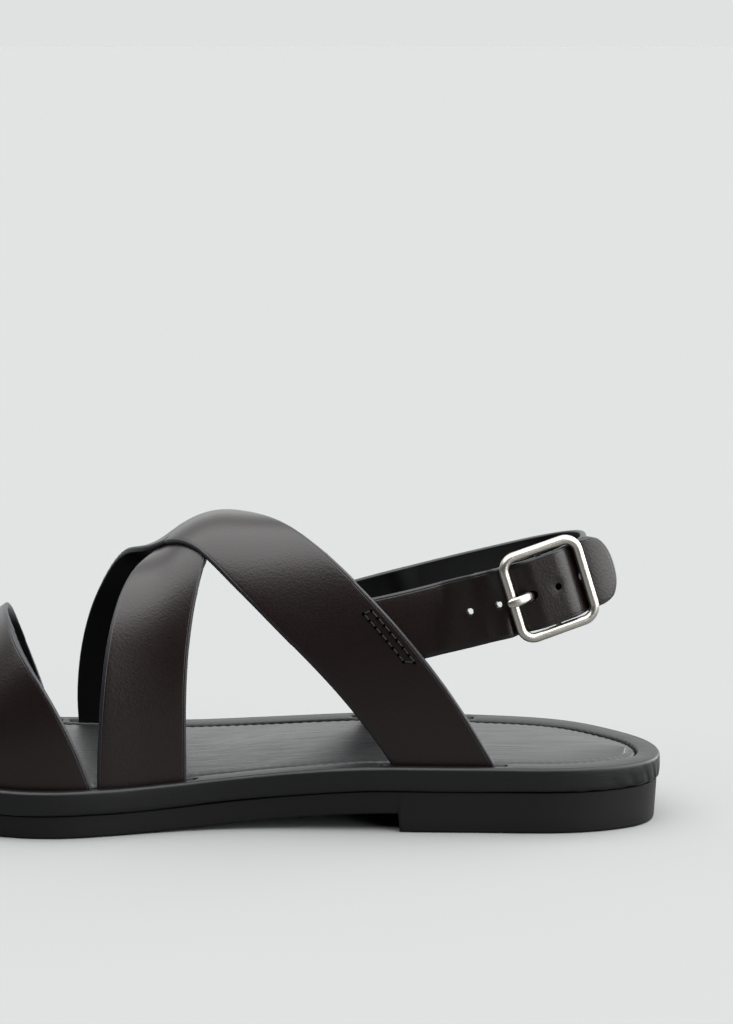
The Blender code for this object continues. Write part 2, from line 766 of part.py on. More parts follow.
def hole_punches(loop, places):
    """Round punches at the places along the loop, and a square one where the prong comes through."""
    shape = bmesh.new()
    radius = HOLE_DIAMETER / 2
    for place in places:
        bmesh.ops.create_cone(shape, cap_ends=True, segments=12, radius1=radius, radius2=radius,
                              depth=PUNCH_LENGTH, matrix=Matrix(loop_matrix(loop, place, 0.0).tolist()))
    slot = np.diag([PRONG_SLOT_LENGTH, PRONG_WIDTH + 2 * GAP, PUNCH_LENGTH, 1.0])
    slot = loop_matrix(loop, PRONG_HOLE_PLACE, 0.0) @ slot
    bmesh.ops.create_cube(shape, size=1.0, matrix=Matrix(slot.tolist()))
    return bmesh_object("hole_punches", shape, np.eye(4), BROWN_LEATHER, CUTTERS)


def make_heel_strap(loop):
    """The strap round the heel, its end skived and folded round the buckle's middle bar."""
    buckle, length = loop[:2]
    under_ankle_strap = -(STRAP_THICKNESS + 2 * GAP)
    fold = BAR_WIRE / 2 + GAP + FOLD_THICKNESS / 2
    bar_aside = buckle_plane() - BAR_DROP
    run = np.linspace(-buckle, 0.0, 56)
    near = smoothstep((run + FOLD_APPROACH) / FOLD_APPROACH)
    aside = under_ankle_strap * (1 - near) + (bar_aside - fold) * near
    turn = np.linspace(-math.pi / 2, math.pi / 2, 9)[1:]
    run = np.concatenate([run, fold * np.cos(turn), [-FOLD_RETURN / 2, -FOLD_RETURN]])
    aside = np.concatenate([aside, bar_aside + fold * np.sin(turn), [bar_aside + fold] * 2])
    near = np.concatenate([near, np.ones(len(turn) + 2)])
    width = HEEL_STRAP_WIDTH + (FOLD_WIDTH - HEEL_STRAP_WIDTH) * near
    centre, along, normal, upward = on_loop(loop, run, aside)
    grid = seat_inside(loop_grid(centre, upward, width), False)
    strap = sheet_object("heel_strap", grid, normal[len(near) // 2], BROWN_LEATHER, PARTS)
    skived = strap.vertex_groups.new(name="skived")
    thickness = 1 - near * (1 - FOLD_THICKNESS / STRAP_THICKNESS)
    rows = len(thickness)
    for i in range(len(strap.data.vertices)):
        skived.add([i], float(thickness[i % rows]), "REPLACE")
    solid = thicken(strap, STRAP_THICKNESS, 0.0)
    solid.use_even_offset = False
    solid.vertex_group = "skived"
    shape = bmesh.new()
    bmesh.ops.create_cube(shape, size=1.0)
    size = (2 * fold + EYE_SLOT_ROOM, PRONG_WIDTH + 4 * GAP, EYE_SLOT_DEPTH)
    bmesh.ops.scale(shape, vec=size, verts=shape.verts)
    slot = bmesh_object("eye_slot", shape, loop_matrix(loop, 0.0, bar_aside), BROWN_LEATHER, CUTTERS)
    boolean(strap, as_cutter(slot), "DIFFERENCE")


def wire(name, points, closed, radius, matrix, sides):
    """A round wire through the points, as a mesh with its caps welded."""
    curve = bpy.data.curves.new(name, "CURVE")
    curve.dimensions = "3D"
    curve.bevel_depth = radius
    curve.bevel_resolution = sides
    curve.use_fill_caps = True
    spline = curve.splines.new("POLY")
    spline.points.add(len(points) - 1)
    for point, place in zip(spline.points, points):
        point.co = (*place, 1.0)
    spline.use_cyclic_u = closed
    guide = bpy.data.objects.new(name, curve)
    CUTTERS.objects.link(guide)
    graph = bpy.context.evaluated_depsgraph_get()
    mesh = bpy.data.meshes.new_from_object(guide.evaluated_get(graph), depsgraph=graph)
    bpy.data.objects.remove(guide)
    mesh.name = name
    shape = bmesh.new()
    shape.from_mesh(mesh)
    bmesh.ops.remove_doubles(shape, verts=shape.verts, dist=1e-6)
    return bmesh_object(name, shape, matrix, NICKEL, PARTS)


def make_buckle(loop):
    half_length = (BUCKLE_LENGTH - BUCKLE_WIRE) / 2
    half_height = (ANKLE_STRAP_WIDTH + BUCKLE_WIRE) / 2 + BUCKLE_CLEARANCE
    matrix = loop_matrix(loop, 0.0, buckle_plane())
    corner = []
    for quarter in range(4):
        turn = np.radians(np.linspace(0.0, 90.0, 7) + 90.0 * quarter)
        side_x = 1 if quarter in (0, 3) else -1
        side_y = 1 if quarter in (0, 1) else -1
        corner += [(side_x * (half_length - BUCKLE_CORNER) + BUCKLE_CORNER * math.cos(t),
                    side_y * (half_height - BUCKLE_CORNER) + BUCKLE_CORNER * math.sin(t), 0.0) for t in turn]
    frame = wire("buckle", corner, True, BUCKLE_WIRE / 2, matrix, 3)
    reach = np.linspace(-1.0, 1.0, 17)
    drop = smoothstep((half_height - np.abs(reach) * half_height) / (half_height - FOLD_WIDTH / 2 - GAP))
    bar = wire("middle_bar", [(0.0, half_height * r, -BAR_DROP * d) for r, d in zip(reach, drop)], False,
               BAR_WIRE / 2, matrix, 2)
    PARTS.objects.unlink(bar)
    CUTTERS.objects.link(bar)
    boolean(frame, as_cutter(bar), "UNION")


def make_prong(loop):
    """A flat tongue: an open eye round the middle bar, then up through the strap and over the front bar."""
    eye = BAR_WIRE / 2 + GAP + PRONG_THICKNESS / 2
    turn = np.radians(np.linspace(250.0, 90.0, 9))
    over_bar = BUCKLE_WIRE / 2 + GAP + PRONG_THICKNESS / 2
    front = (BUCKLE_LENGTH - BUCKLE_WIRE) / 2
    place, climb = np.array(PRONG_CLIMB).T
    top = eye - BAR_DROP
    run = np.concatenate([eye * np.cos(turn), PRONG_HOLE_PLACE + PRONG_SLOT_LENGTH * place,
                          [front, front + PRONG_OVERHANG]])
    out = np.concatenate([eye * np.sin(turn) - BAR_DROP, top + (over_bar - top) * climb,
                          [over_bar, over_bar - PRONG_NOSE_DROP]])
    centre, along, normal, upward = on_loop(loop, run, out + buckle_plane())
    grid = loop_grid(centre, upward, np.full(len(run), PRONG_WIDTH), 3)
    prong = sheet_object("prong", grid, normal[-1], NICKEL, PARTS)
    thicken(prong, PRONG_THICKNESS, 0.0)
    rounded = prong.modifiers.new("edges", "BEVEL")
    rounded.width = PRONG_THICKNESS * 0.22
    rounded.segments = 1


def main():
    make_outsole()
    make_midsole()
    make_insole()
    make_upper()
    make_toe_strap()
    loop = ankle_loop(True)
    make_ankle_strap(loop)
    make_heel_strap(ankle_loop(False))
    make_buckle(loop)
    make_prong(loop)
    for piece in PARTS.objects:
        piece.data.shade_smooth()
        piece.data.set_sharp_from_angle(angle=SMOOTH_ANGLE)
    frame = bpy.data.objects.new("sandal_frame", None)
    PARTS.objects.link(frame)
    for piece in list(PARTS.objects) + list(CUTTERS.objects):
        if piece != frame:
            piece.parent = frame
    frame.location.x = -SOLE_LENGTH / 2


main()
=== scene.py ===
"""Looks of the left cross strap sandal: leather straps, wrapped footbed, rubber sole and a satin buckle.

The file is laid out as an add-on and is run as a script. Every size is in metres in the frame of the solids:
+X from heel to toe, +Y to the outer side of the foot, +Z up and the floor at z = 0.
"""

import math

import bmesh
import bpy
import numpy as np
from bpy.props import FloatProperty, FloatVectorProperty, PointerProperty
from mathutils import Matrix, Vector


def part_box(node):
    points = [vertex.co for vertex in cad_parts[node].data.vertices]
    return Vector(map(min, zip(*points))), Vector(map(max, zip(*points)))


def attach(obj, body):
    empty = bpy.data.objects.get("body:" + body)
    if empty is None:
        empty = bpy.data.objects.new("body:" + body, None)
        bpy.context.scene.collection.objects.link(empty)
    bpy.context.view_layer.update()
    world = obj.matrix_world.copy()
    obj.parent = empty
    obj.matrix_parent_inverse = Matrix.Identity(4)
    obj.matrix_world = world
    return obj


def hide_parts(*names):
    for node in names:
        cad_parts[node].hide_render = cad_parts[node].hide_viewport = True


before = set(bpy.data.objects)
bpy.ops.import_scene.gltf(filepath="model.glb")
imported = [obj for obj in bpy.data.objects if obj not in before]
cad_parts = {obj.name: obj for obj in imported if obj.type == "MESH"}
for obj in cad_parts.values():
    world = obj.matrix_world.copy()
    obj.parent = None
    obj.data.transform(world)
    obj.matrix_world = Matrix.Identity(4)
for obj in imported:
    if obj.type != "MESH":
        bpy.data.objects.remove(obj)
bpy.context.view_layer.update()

bl_info = {
    "name": "Cross Strap Sandal",
    "version": (1, 0, 0),
    "blender": (4, 5, 0),
    "location": "View3D > Sidebar > Sandal",
    "description": "Dresses the cross strap sandal with leather, rubber and nickel",
    "category": "Object",
}

# Sole, from the frame and from the sizes of the real shoe
SOLE_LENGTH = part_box("midsole")[1].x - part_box("midsole")[0].x
HEEL_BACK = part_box("midsole")[0].x
BALL_WIDTH = 0.098
WAIST_WIDTH = 0.074
HEEL_WIDTH = 0.071
HEEL_BREAST = 0.090
HEEL_LIFT = 0.0065
BALL_LINE = 0.186
SPRING_LINE = 0.216
TOE_SPRING = 0.0070
OUTSOLE_THICKNESS = 0.0082
OUTSOLE_SETBACK = 0.0008
HEEL_TAPER = 0.0007
BREAST_DRAFT = 0.0006
MIDSOLE_THICKNESS = 0.0084
RIM_WIDTH = 0.0082
RECESS_DEPTH = 0.0030
GAP = 0.0003

# Straps
STRAP_THICKNESS = 0.0022
STRAP_CORNER = 0.0006
EDGE_ROUNDING = 0.00022
EDGE_ROUNDING_REACH = 0.0009
CROSS_STRAP_WIDTH = 0.0335
INSTEP_HEIGHT = 0.0782
STRAP_INSET = 0.0060
FOOT_TURN = math.radians(2.0)
SLOT_END = 0.0022
TOE_STRAP_WIDTH = 0.0360
ANKLE_STRAP_WIDTH = 0.0240
HEEL_STRAP_WIDTH = 0.0210
LOOP_REAR = 0.0235
LOOP_WIDEST = 0.0600
LOOP_HALF_WIDTH = 0.0302
LOOP_DRAW_IN = 0.0050
LOOP_ROUNDNESS = 2.8
OUTER_JOINT = 0.0885
OUTER_JOINT_HEIGHT = 0.0699
INNER_JOINT = 0.1090
INNER_JOINT_HEIGHT = 0.0655
OUTER_TILT = math.radians(17.3)
INNER_TILT = math.radians(13.5)
JOINT_TUCK = 0.0110
JOINT_GAP = 0.0005
SEAT_LENGTH = 0.0240
SEAT_BLEND = 0.0140
SEAT_DROP = 0.19
LOOP_LEAN = math.radians(6.0)
LOOP_SOFTENED = 15
TIP_LENGTH = 0.0250
TIP_ROUND = 0.0085
TIP_SQUARENESS = 2.3
TIP_CURL = 0.0024
TIP_BLEND = 1.9
DIMPLE_DEPTH = 0.00022

# Buckle, prong and the holes that the prong goes through
BUCKLE_PLACE = 0.0405
BUCKLE_LENGTH = 0.0300
BUCKLE_WIRE = 0.0033
BUCKLE_CORNER = 0.0046
BUCKLE_CLEARANCE = 0.0006
BAR_WIRE = 0.0022
BAR_DROP = 0.0038
PRONG_WIDTH = 0.0032
PRONG_THICKNESS = 0.0018
PRONG_OVERHANG = 0.0024
PRONG_NOSE_DROP = 0.0004
PRONG_NOSE_ROUND = 0.9
PRONG_BEND = 0.0009
PRONG_CORNER = PRONG_THICKNESS * 0.42
PRONG_EYE_OPENING = math.radians(250.0)
HOLE_DIAMETER = 0.0023
HOLE_PITCH = 0.0105
HOLE_STEPS = (-2, -1, 1, 2)
PRONG_HOLE_PLACE = 0.0075
PRONG_SLOT_LENGTH = 0.0056
HUMP_SLOPE = 0.65
HUMP_SOFTENED = 0.0018
FOLD_THICKNESS = 0.0012
FOLD_WIDTH = 0.0200
FOLD_RETURN = 0.0042
FOLD_APPROACH = 0.0120

# Rows along the ankle strap from its tip: close together first, then even as far as the holes go, then wide
TIP_ROWS = (0.0, 0.00008, 0.0002, 0.00036, 0.0006)
EVEN_ROWS_START = 0.0009
EVEN_ROWS_STEP = 0.0004
EVEN_ROWS_REACH = TIP_LENGTH + 0.028
WIDE_ROWS = 60
PUNCH_REACH = 0.008

# The prong's climb through the ankle strap.
# Columns: place ahead of its hole as a share of PRONG_SLOT_LENGTH, share of the climb over the front bar
PRONG_CLIMB = (
    (-0.80, 0.00),
    (-0.43, 0.03),
    (-0.09, 0.39),
    (0.25, 0.76),
    (0.61, 1.00),
)

# Steps along each side of the outline, and rows along the over strap
FOOTBED_STEPS = 900
SOLE_STEPS = 500
OVER_STRAP_ROWS = 320

# Angles over which an edge is drawn sharp
SOLE_SHARP_ANGLE = math.radians(50)
HOLE_SHARP_ANGLE = math.radians(40)

# The sole's outline: each row is a station from heel to toe.
# Columns: share of SOLE_LENGTH, width that the row follows, share of it outwards, share of it inwards
OUTLINE = (
    (0.000, HEEL_WIDTH, 0.140, -0.140),
    (0.012, HEEL_WIDTH, 0.300, 0.050),
    (0.045, HEEL_WIDTH, 0.405, 0.215),
    (0.100, HEEL_WIDTH, 0.480, 0.385),
    (0.200, HEEL_WIDTH, 0.503, 0.485),
    (0.320, WAIST_WIDTH, 0.487, 0.500),
    (0.430, WAIST_WIDTH, 0.480, 0.535),
    (0.520, WAIST_WIDTH, 0.495, 0.588),
    (0.620, BALL_WIDTH, 0.437, 0.475),
    (0.710, BALL_WIDTH, 0.500, 0.496),
    (0.790, BALL_WIDTH, 0.475, 0.490),
    (0.870, BALL_WIDTH, 0.375, 0.440),
    (0.935, BALL_WIDTH, 0.235, 0.345),
    (0.980, BALL_WIDTH, 0.080, 0.225),
    (1.000, BALL_WIDTH, -0.070, 0.070),
)

# The last's sections. Columns: share of SOLE_LENGTH, share of INSTEP_HEIGHT, squareness of the section
LAST = (
    (0.20, 1.10, 2.2),
    (0.30, 1.05, 2.3),
    (0.40, 1.00, 2.3),
    (0.48, 1.015, 2.4),
    (0.55, 1.055, 2.5),
    (0.62, 0.87, 2.5),
    (0.70, 0.94, 2.5),
    (0.74, 0.89, 2.4),
    (0.78, 0.68, 2.4),
    (0.85, 0.51, 2.3),
    (0.92, 0.38, 2.3),
)

# Width along a cross strap, from its front foot to its rear foot.
# Columns: share of the way, share of CROSS_STRAP_WIDTH
CROSS_WIDTHS = (
    (0.00, 0.92),
    (0.30, 0.77),
    (0.75, 0.92),
    (1.00, 0.91),
)

# The width that a cross strap's section is drawn for, as a share of CROSS_STRAP_WIDTH
CROSS_MEAN = 0.88

# Where the over strap climbs onto the under strap and where it comes down again, as shares of its way
CLIMB = (0.12, 0.36)
DESCENT = (0.67, 0.92)

# Straps over the last. Columns: outer foot and inner foot along the sole, front foot is the outer one,
# ease of the way from foot to foot, bow towards the toe
OVER_STRAP = (0.0775, 0.1970, False, 1.5, 0.0050)
UNDER_STRAP = (0.1778, 0.0900, True, 2.55, -0.0015)
TOE_STRAP = (0.2146, 0.2405, True, 1.0, 0.0177)


def smoothstep(share):
    """0 up to 0, 1 from 1 on, and a cubic with level ends between them."""
    share = np.clip(share, 0.0, 1.0)
    return share * share * (3.0 - 2.0 * share)


def unit(vectors):
    """The vectors, each divided by its length."""
    return vectors / np.linalg.norm(vectors, axis=-1, keepdims=True)


def square_to(vectors, along):
    """Unit vectors, each less its part along the direction that belongs to it."""
    return unit(vectors - np.sum(vectors * along, axis=1, keepdims=True) * along)


def way(points):
    """Length along a line of points, from its start to each of them."""
    return np.concatenate([[0.0], np.cumsum(np.linalg.norm(np.diff(points, axis=0), axis=1))])


def read_off(at, known, columns):
    """Each column's value at the given places, on straight lines between the known ones."""
    return np.stack([np.interp(at, known, column) for column in columns.T], axis=-1)


def closed_spline(points, samples_a_span):
    """A periodic cubic through the points with chord length between its knots."""
    points = np.asarray(points, float)
    count = len(points)
    steps = np.linalg.norm(np.roll(points, -1, axis=0) - points, axis=1)
    matrix = np.zeros((count, count))
    slopes = np.zeros_like(points)
    for i in range(count):
        before, after = steps[i - 1], steps[i]
        matrix[i, i - 1] = after
        matrix[i, i] = 2.0 * (before + after)
        matrix[i, (i + 1) % count] = before
        rise_before = (points[i] - points[i - 1]) / before
        rise_after = (points[(i + 1) % count] - points[i]) / after
        slopes[i] = 3.0 * (after * rise_before + before * rise_after)
    slopes = np.linalg.solve(matrix, slopes)[:, None]
    share = np.linspace(0.0, 1.0, samples_a_span, endpoint=False)[None, :, None]
    start, end = points[:, None], np.roll(points, -1, axis=0)[:, None]
    end_slopes = np.roll(slopes, -1, axis=0)
    steps = steps[:, None, None]
    curve = (
        (2 * share**3 - 3 * share**2 + 1) * start
        + (share**3 - 2 * share**2 + share) * steps * slopes
        + (3 * share**2 - 2 * share**3) * end
        + (share**3 - share**2) * steps * end_slopes
    )
    return curve.reshape(-1, 2)


def outline_sides(samples_a_span=160):
    """The sole's dense outline, as the outer and the inner side from heel to toe."""
    outer = [(row[0] * SOLE_LENGTH, row[2] * row[1]) for row in OUTLINE]
    inner = [(row[0] * SOLE_LENGTH, -row[3] * row[1]) for row in OUTLINE]
    curve = closed_spline(outer + inner[-2:0:-1], samples_a_span)
    toe = int(np.argmax(curve[:, 0]))
    heel = int(np.argmin(curve[:, 0]))
    curve = np.roll(curve, -heel, axis=0)
    toe = (toe - heel) % len(curve)
    return curve[: toe + 1], np.vstack([curve[toe:], curve[:1]])[::-1]


OUTER_SIDE, INNER_SIDE = outline_sides()


def side_y(x, outer):
    """The outline's y at a station, on its outer or inner side."""
    side = OUTER_SIDE if outer else INNER_SIDE
    return np.interp(x, side[:, 0], side[:, 1])


def arch_rise(x):
    """How far the sole's layers stand above their level at the ball: up to the heel, and up to the toe."""
    heel = HEEL_LIFT * smoothstep((BALL_LINE - x) / (BALL_LINE - HEEL_BREAST))
    toe = TOE_SPRING * np.clip((x - SPRING_LINE) / (SOLE_LENGTH - SPRING_LINE), 0.0, 1.0) ** 2
    return heel + toe


def outsole_bottom(x):
    """The tread: flat under the heel, straight up at the heel's breast, then the arch."""
    breast = np.clip((x - HEEL_BREAST) / BREAST_DRAFT + 0.5, 0.0, 1.0)
    return arch_rise(x) * breast


def outsole_top(x):
    """The outsole's upper side: one thickness over the level of the sole's bends."""
    return arch_rise(x) + OUTSOLE_THICKNESS


def footbed_top(x):
    """The footbed's upper side, one gap and one thickness over the outsole."""
    return outsole_top(x) + GAP + MIDSOLE_THICKNESS


def even_side(side, count):
    """A side of the outline in even steps of its length, with extra steps at the heel's breast."""
    length = way(side)
    at = np.linspace(0.0, length[-1], count)
    for edge in (-0.5, 0.5):
        place = np.interp(HEEL_BREAST + edge * BREAST_DRAFT, side[:, 0], length)
        at[np.argmin(np.abs(at - place))] = place
    return read_off(at, length, side)


def outline_ring(count):
    """The outline as a ring, out along the outer side and back along the inner, and its inward directions."""
    ring = np.vstack([even_side(OUTER_SIDE, count), even_side(INNER_SIDE, count)[-2:0:-1]])
    along = unit(np.roll(ring, -1, axis=0) - np.roll(ring, 1, axis=0))
    return ring, np.column_stack([along[:, 1], -along[:, 0]])


def ring_length(ring):
    """Length round the ring at each of its points."""
    return way(ring)


def smooth_table(at, places, values, reach=0.03):
    """A table's value with its corners rounded off: the mean of its straight lines over a window."""
    window = np.linspace(-reach, reach, 13)
    return np.mean([np.interp(at + w, places, values) for w in window], axis=0)


def last_form(x):
    """The last at a station: middle and half of its width, its footbed, its height and its squareness."""
    outer = side_y(x, True) - STRAP_INSET
    inner = side_y(x, False) + STRAP_INSET
    table = np.array(LAST)
    height = smooth_table(x / SOLE_LENGTH, table[:, 0], table[:, 1]) * INSTEP_HEIGHT
    power = np.interp(x / SOLE_LENGTH, table[:, 0], table[:, 2])
    return (outer + inner) / 2, (outer - inner) / 2, footbed_top(x), height, power


def last_point(x, turn):
    """A point of the last: turn 0 is its outer feather line, half a turn its inner one."""
    middle, half, footbed, height, power = last_form(x)
    y = middle + half * np.sign(np.cos(turn)) * np.abs(np.cos(turn)) ** (2 / power)
    z = footbed + height * np.abs(np.sin(turn)) ** (2 / power)
    return np.stack([x + 0.0 * y, y, z], axis=-1)


def onto_last(points):
    """Points moved in their own cross section onto the last, or onto its upright sides below the footbed."""
    middle, half, footbed, height, power = last_form(points[..., 0])
    across = (points[..., 1] - middle) / half
    up = (points[..., 2] - footbed) / height
    scale = (np.abs(across) ** power + np.maximum(up, 0.0) ** power) ** (1 / power)
    moved = points.copy()
    moved[..., 1] = middle + half * across / scale
    moved[..., 2] = np.where(up > 0, footbed + height * up / scale, points[..., 2])
    return moved


def last_side(x, z, outer):
    """The last's y at a height on its outer or inner side."""
    middle, half, footbed, height, power = last_form(x)
    just_under_top = 0.98
    up = np.clip((z - footbed) / height, 0.0, just_under_top)
    reach = half * (1 - up**power) ** (1 / power)
    return middle + reach if outer else middle - reach


def last_strap(route, samples=481):
    """A strap over the last, front foot to rear foot: centre line, directions, outward normals."""
    outer_x, inner_x, front_is_outer, ease, bow = route
    share = np.linspace(0.0, 1.0, samples)
    front, rear = (outer_x, inner_x) if front_is_outer else (inner_x, outer_x)
    x = front + (rear - front) * share**ease + bow * 4 * share * (1 - share)
    turn = FOOT_TURN + (math.pi - 2 * FOOT_TURN) * (share if front_is_outer else 1.0 - share)
    centre = last_point(x, turn)
    small = 1e-4
    along_last = last_point(x + small, turn) - last_point(x - small, turn)
    around_last = last_point(x, turn + small) - last_point(x, turn - small)
    along = unit(np.gradient(centre, axis=0))
    normal = square_to(unit(np.cross(around_last, along_last)), along)
    return share, centre, along, normal


def strap_rails(frames, width, lift, places, tail=0.045, tail_steps=120):
    """Dense lines along a strap's inner face, laid on the last, each running on below both of its feet."""
    share, centre, along, normal = frames
    across = np.cross(normal, along)
    steps = np.linspace(0.0, tail, tail_steps + 1)[1:, None]
    centre = np.vstack([centre[0] - steps[::-1] * along[0], centre, centre[-1] + steps * along[-1]])
    pad = ((len(steps), len(steps)), (0, 0))
    across = np.pad(across, pad, mode="edge")
    normal = np.pad(normal, pad, mode="edge")
    half = np.pad(width(share) / 2, len(steps), mode="edge")[:, None]
    raised = np.pad(lift(share), len(steps), mode="edge")[:, None]
    return [onto_last(upright_tails(centre + across * place * half)) + normal * raised for place in places]


def upright_tails(rail):
    """A rail that turns straight down where it passes below the footbed."""
    above = np.flatnonzero(rail[:, 2] > footbed_top(rail[:, 0]))
    turned = rail.copy()
    turned[: above[0], 0] = rail[above[0], 0]
    turned[above[-1] + 1:, 0] = rail[above[-1], 0]
    return turned


def crossing(rail, height, first):
    """Where a rail rises through height(x), or falls through it, as a fractional index."""
    above = rail[:, 2] - height(rail[:, 0])
    if first:
        i = int(np.argmax(above > 0))
        return i - above[i] / (above[i] - above[i - 1])
    i = len(above) - 1 - int(np.argmax(above[::-1] > 0))
    return i + above[i] / (above[i] - above[i + 1])


def stretch(rail, start, end, rows):
    """A rail cut to the stretch between two of its indices, in even steps of length."""
    length = way(rail)
    index = np.arange(len(rail))
    at = np.linspace(np.interp(start, index, length), np.interp(end, index, length), rows)
    return read_off(at, length, rail)


def cross_width(share):
    """A cross strap's width along its way, from its table."""
    table = np.array(CROSS_WIDTHS)
    return smooth_table(share, table[:, 0], table[:, 1]) * CROSS_STRAP_WIDTH


def toe_width(share):
    """The toe strap's width, the same all along."""
    return TOE_STRAP_WIDTH + 0.0 * share


def level(share):
    """The lift of a strap that lies on the last all along."""
    return 0.0 * share


def raised(share):
    """The over strap's lift: it climbs onto the under strap and comes down again."""
    up = smoothstep((share - CLIMB[0]) / (CLIMB[1] - CLIMB[0]))
    down = smoothstep((DESCENT[1] - share) / (DESCENT[1] - DESCENT[0]))
    return STRAP_THICKNESS * up * down


def strap_surface(route, width, lift, rows):
    """A function of the places across that gives a strap's inner face from slot to slot."""
    frames = last_strap(route)

    def end(x):
        """The level at which the strap ends, inside its slot."""
        return outsole_top(x) + GAP

    def surface(places):
        """The inner face's lines at the places across, each in even steps."""
        rails = strap_rails(frames, width, lift, places)
        return np.array([stretch(r, crossing(r, end, True), crossing(r, end, False), rows) for r in rails])

    return surface


def new_object(name, points, faces, material, node=None):
    """A smooth mesh that rides on the shoe. Points are laid out from the back of the heel."""
    mesh = bpy.data.meshes.new(name)
    points = np.asarray(points, float).reshape(-1, 3) + (HEEL_BACK, 0.0, 0.0)
    if signed_volume(points, faces) < 0:
        faces = [face[::-1] for face in faces]
    mesh.from_pydata(points.tolist(), [], [list(map(int, face)) for face in faces])
    mesh.validate()
    mesh.shade_smooth()
    mesh.update()
    mesh.materials.append(material)
    made = bpy.data.objects.new(name, mesh)
    bpy.context.scene.collection.objects.link(made)
    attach(made, "root")
    if node:
        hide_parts(node)
    return made


def signed_volume(points, faces):
    """Volume inside the faces, less than 0 where they point inwards: tetrahedra in a fan over each face."""
    total = 0.0
    sizes = {}
    for face in faces:
        sizes.setdefault(len(face), []).append(face)
    for size, group in sizes.items():
        corners = points[np.array(group)]
        for i in range(1, size - 1):
            total += np.einsum("ij,ij->i", corners[:, 0], np.cross(corners[:, i], corners[:, i + 1])).sum()
    return total / 6


def grid_faces(rows, columns, wrap_rows=False, wrap_columns=False):
    """Faces of a grid of points, row after row."""
    i = np.arange(rows if wrap_rows else rows - 1)[:, None]
    j = np.arange(columns if wrap_columns else columns - 1)[None, :]
    down, right = (i + 1) % rows, (j + 1) % columns
    return np.stack([i * columns + j, down * columns + j, down * columns + right, i * columns + right],
                    axis=-1).reshape(-1, 4).tolist()


def give_attribute(made, name, values):
    """A value at each point, for the piece's material to read."""
    attribute = made.data.attributes.new(name, "FLOAT", "POINT")
    attribute.data.foreach_set("value", np.asarray(values, np.float32).ravel())


def strap_section(half_width, thickness, corner, faces_across=17, corner_steps=4):
    """A strap's section, once round: place across from -1 to 1, height, and distance inside the nearest edge.

    It is a rectangle with round corners. Its points stand closer together towards its edges.
    """
    face = (half_width - corner) * np.sin(np.linspace(-math.pi / 2, math.pi / 2, faces_across))
    turn = np.linspace(0.0, math.pi / 2, corner_steps + 1)[1:]
    out = half_width - corner + corner * np.sin(turn)
    down = corner - corner * np.cos(turn)
    right = np.concatenate([out, [half_width], out[::-1]])
    fall = np.concatenate([thickness - down, [thickness / 2], down[::-1]])
    place = np.concatenate([face, right, face[::-1], -right])
    height = np.concatenate([np.full(len(face), thickness), fall, np.zeros(len(face)), fall[::-1]])
    return place / half_width, height, half_width - np.abs(place)


def end_faces(section, faces_across, rows, row):
    """Faces that close a strap's end, each from two neighbours of its outer face to two of its inner one."""
    side = section // 2 - faces_across
    top = (section - (side + 1) // 2 + np.arange(section // 2 + 1)) % section
    low = (section - side - 1 - top) % section
    faces = np.stack([top[:-1], top[1:], low[1:], low[:-1]], axis=1) * rows + row
    return [list(dict.fromkeys(face)) for face in faces.tolist()]


def strap_shell(name, surface, half_width, look, node, thickness=STRAP_THICKNESS, low=0.0, thinning=1.0,
                round_start=0.0, round_end=0.0, corner=STRAP_CORNER, faces_across=17):
    """A strap as a closed shell: its section carried along its inner face's surface, with both ends shut.

    Each point is the surface's point at its place across, moved along the normal by its height. The outer
    face rounds down towards its edges, as cut and burnished leather does. The thickness may thin along the
    way. An end that is rounded draws its section in along a quarter circle over the given length.
    """
    place, height, inside = strap_section(half_width, thickness, corner, faces_across)
    spans = 12
    regular = np.linspace(-1.0, 1.0, spans + 1)
    base = surface(regular)
    normal = unit(np.cross(np.gradient(base, axis=0), np.gradient(base, axis=1)))
    outward = base - base.mean(axis=(0, 1)) * (1.0, 0.0, 1.0)
    if np.sum(normal[spans // 2] * outward[spans // 2]) < 0:
        normal = -normal
    at = np.interp(place, regular, np.arange(spans + 1))
    before = np.clip(at.astype(int), 0, spans - 1)
    share = (at - before)[:, None, None]
    normals = unit(normal[before] * (1 - share) + normal[before + 1] * share)
    burnished = EDGE_ROUNDING * np.exp(-inside / EDGE_ROUNDING_REACH) * (height > thickness - corner)
    laid = surface(place)
    length = np.cumsum(np.linalg.norm(np.diff(laid, axis=1, prepend=laid[:, :1]), axis=2), axis=1)
    full = np.ones(length.shape)
    for reach, away in ((round_start, length), (round_end, length[:, -1:] - length)):
        if reach:
            left = np.clip(1 - away / reach, 0.0, 1.0)
            full = np.minimum(full, 1 - 2 * (1 - np.sqrt(1 - left**2)) * reach / thickness)
    middle = thickness / 2
    heights = middle + ((height - burnished)[:, None] - middle) * full * thinning
    points = laid + normals * (heights + low)[..., None]
    section, rows = points.shape[:2]
    faces = grid_faces(section, rows, wrap_rows=True)
    faces += [face[::-1] for face in end_faces(section, faces_across, rows, 0)]
    faces += end_faces(section, faces_across, rows, rows - 1)
    edge_distance = np.minimum(inside[:, None], np.minimum(
        length if round_start else 1.0, length[:, -1:] - length if round_end else 1.0))
    made = new_object(name, points, faces, look, node)
    give_attribute(made, "inside", edge_distance + 0.0 * length)
    give_attribute(made, "outer", np.repeat(height / thickness, rows))
    return made


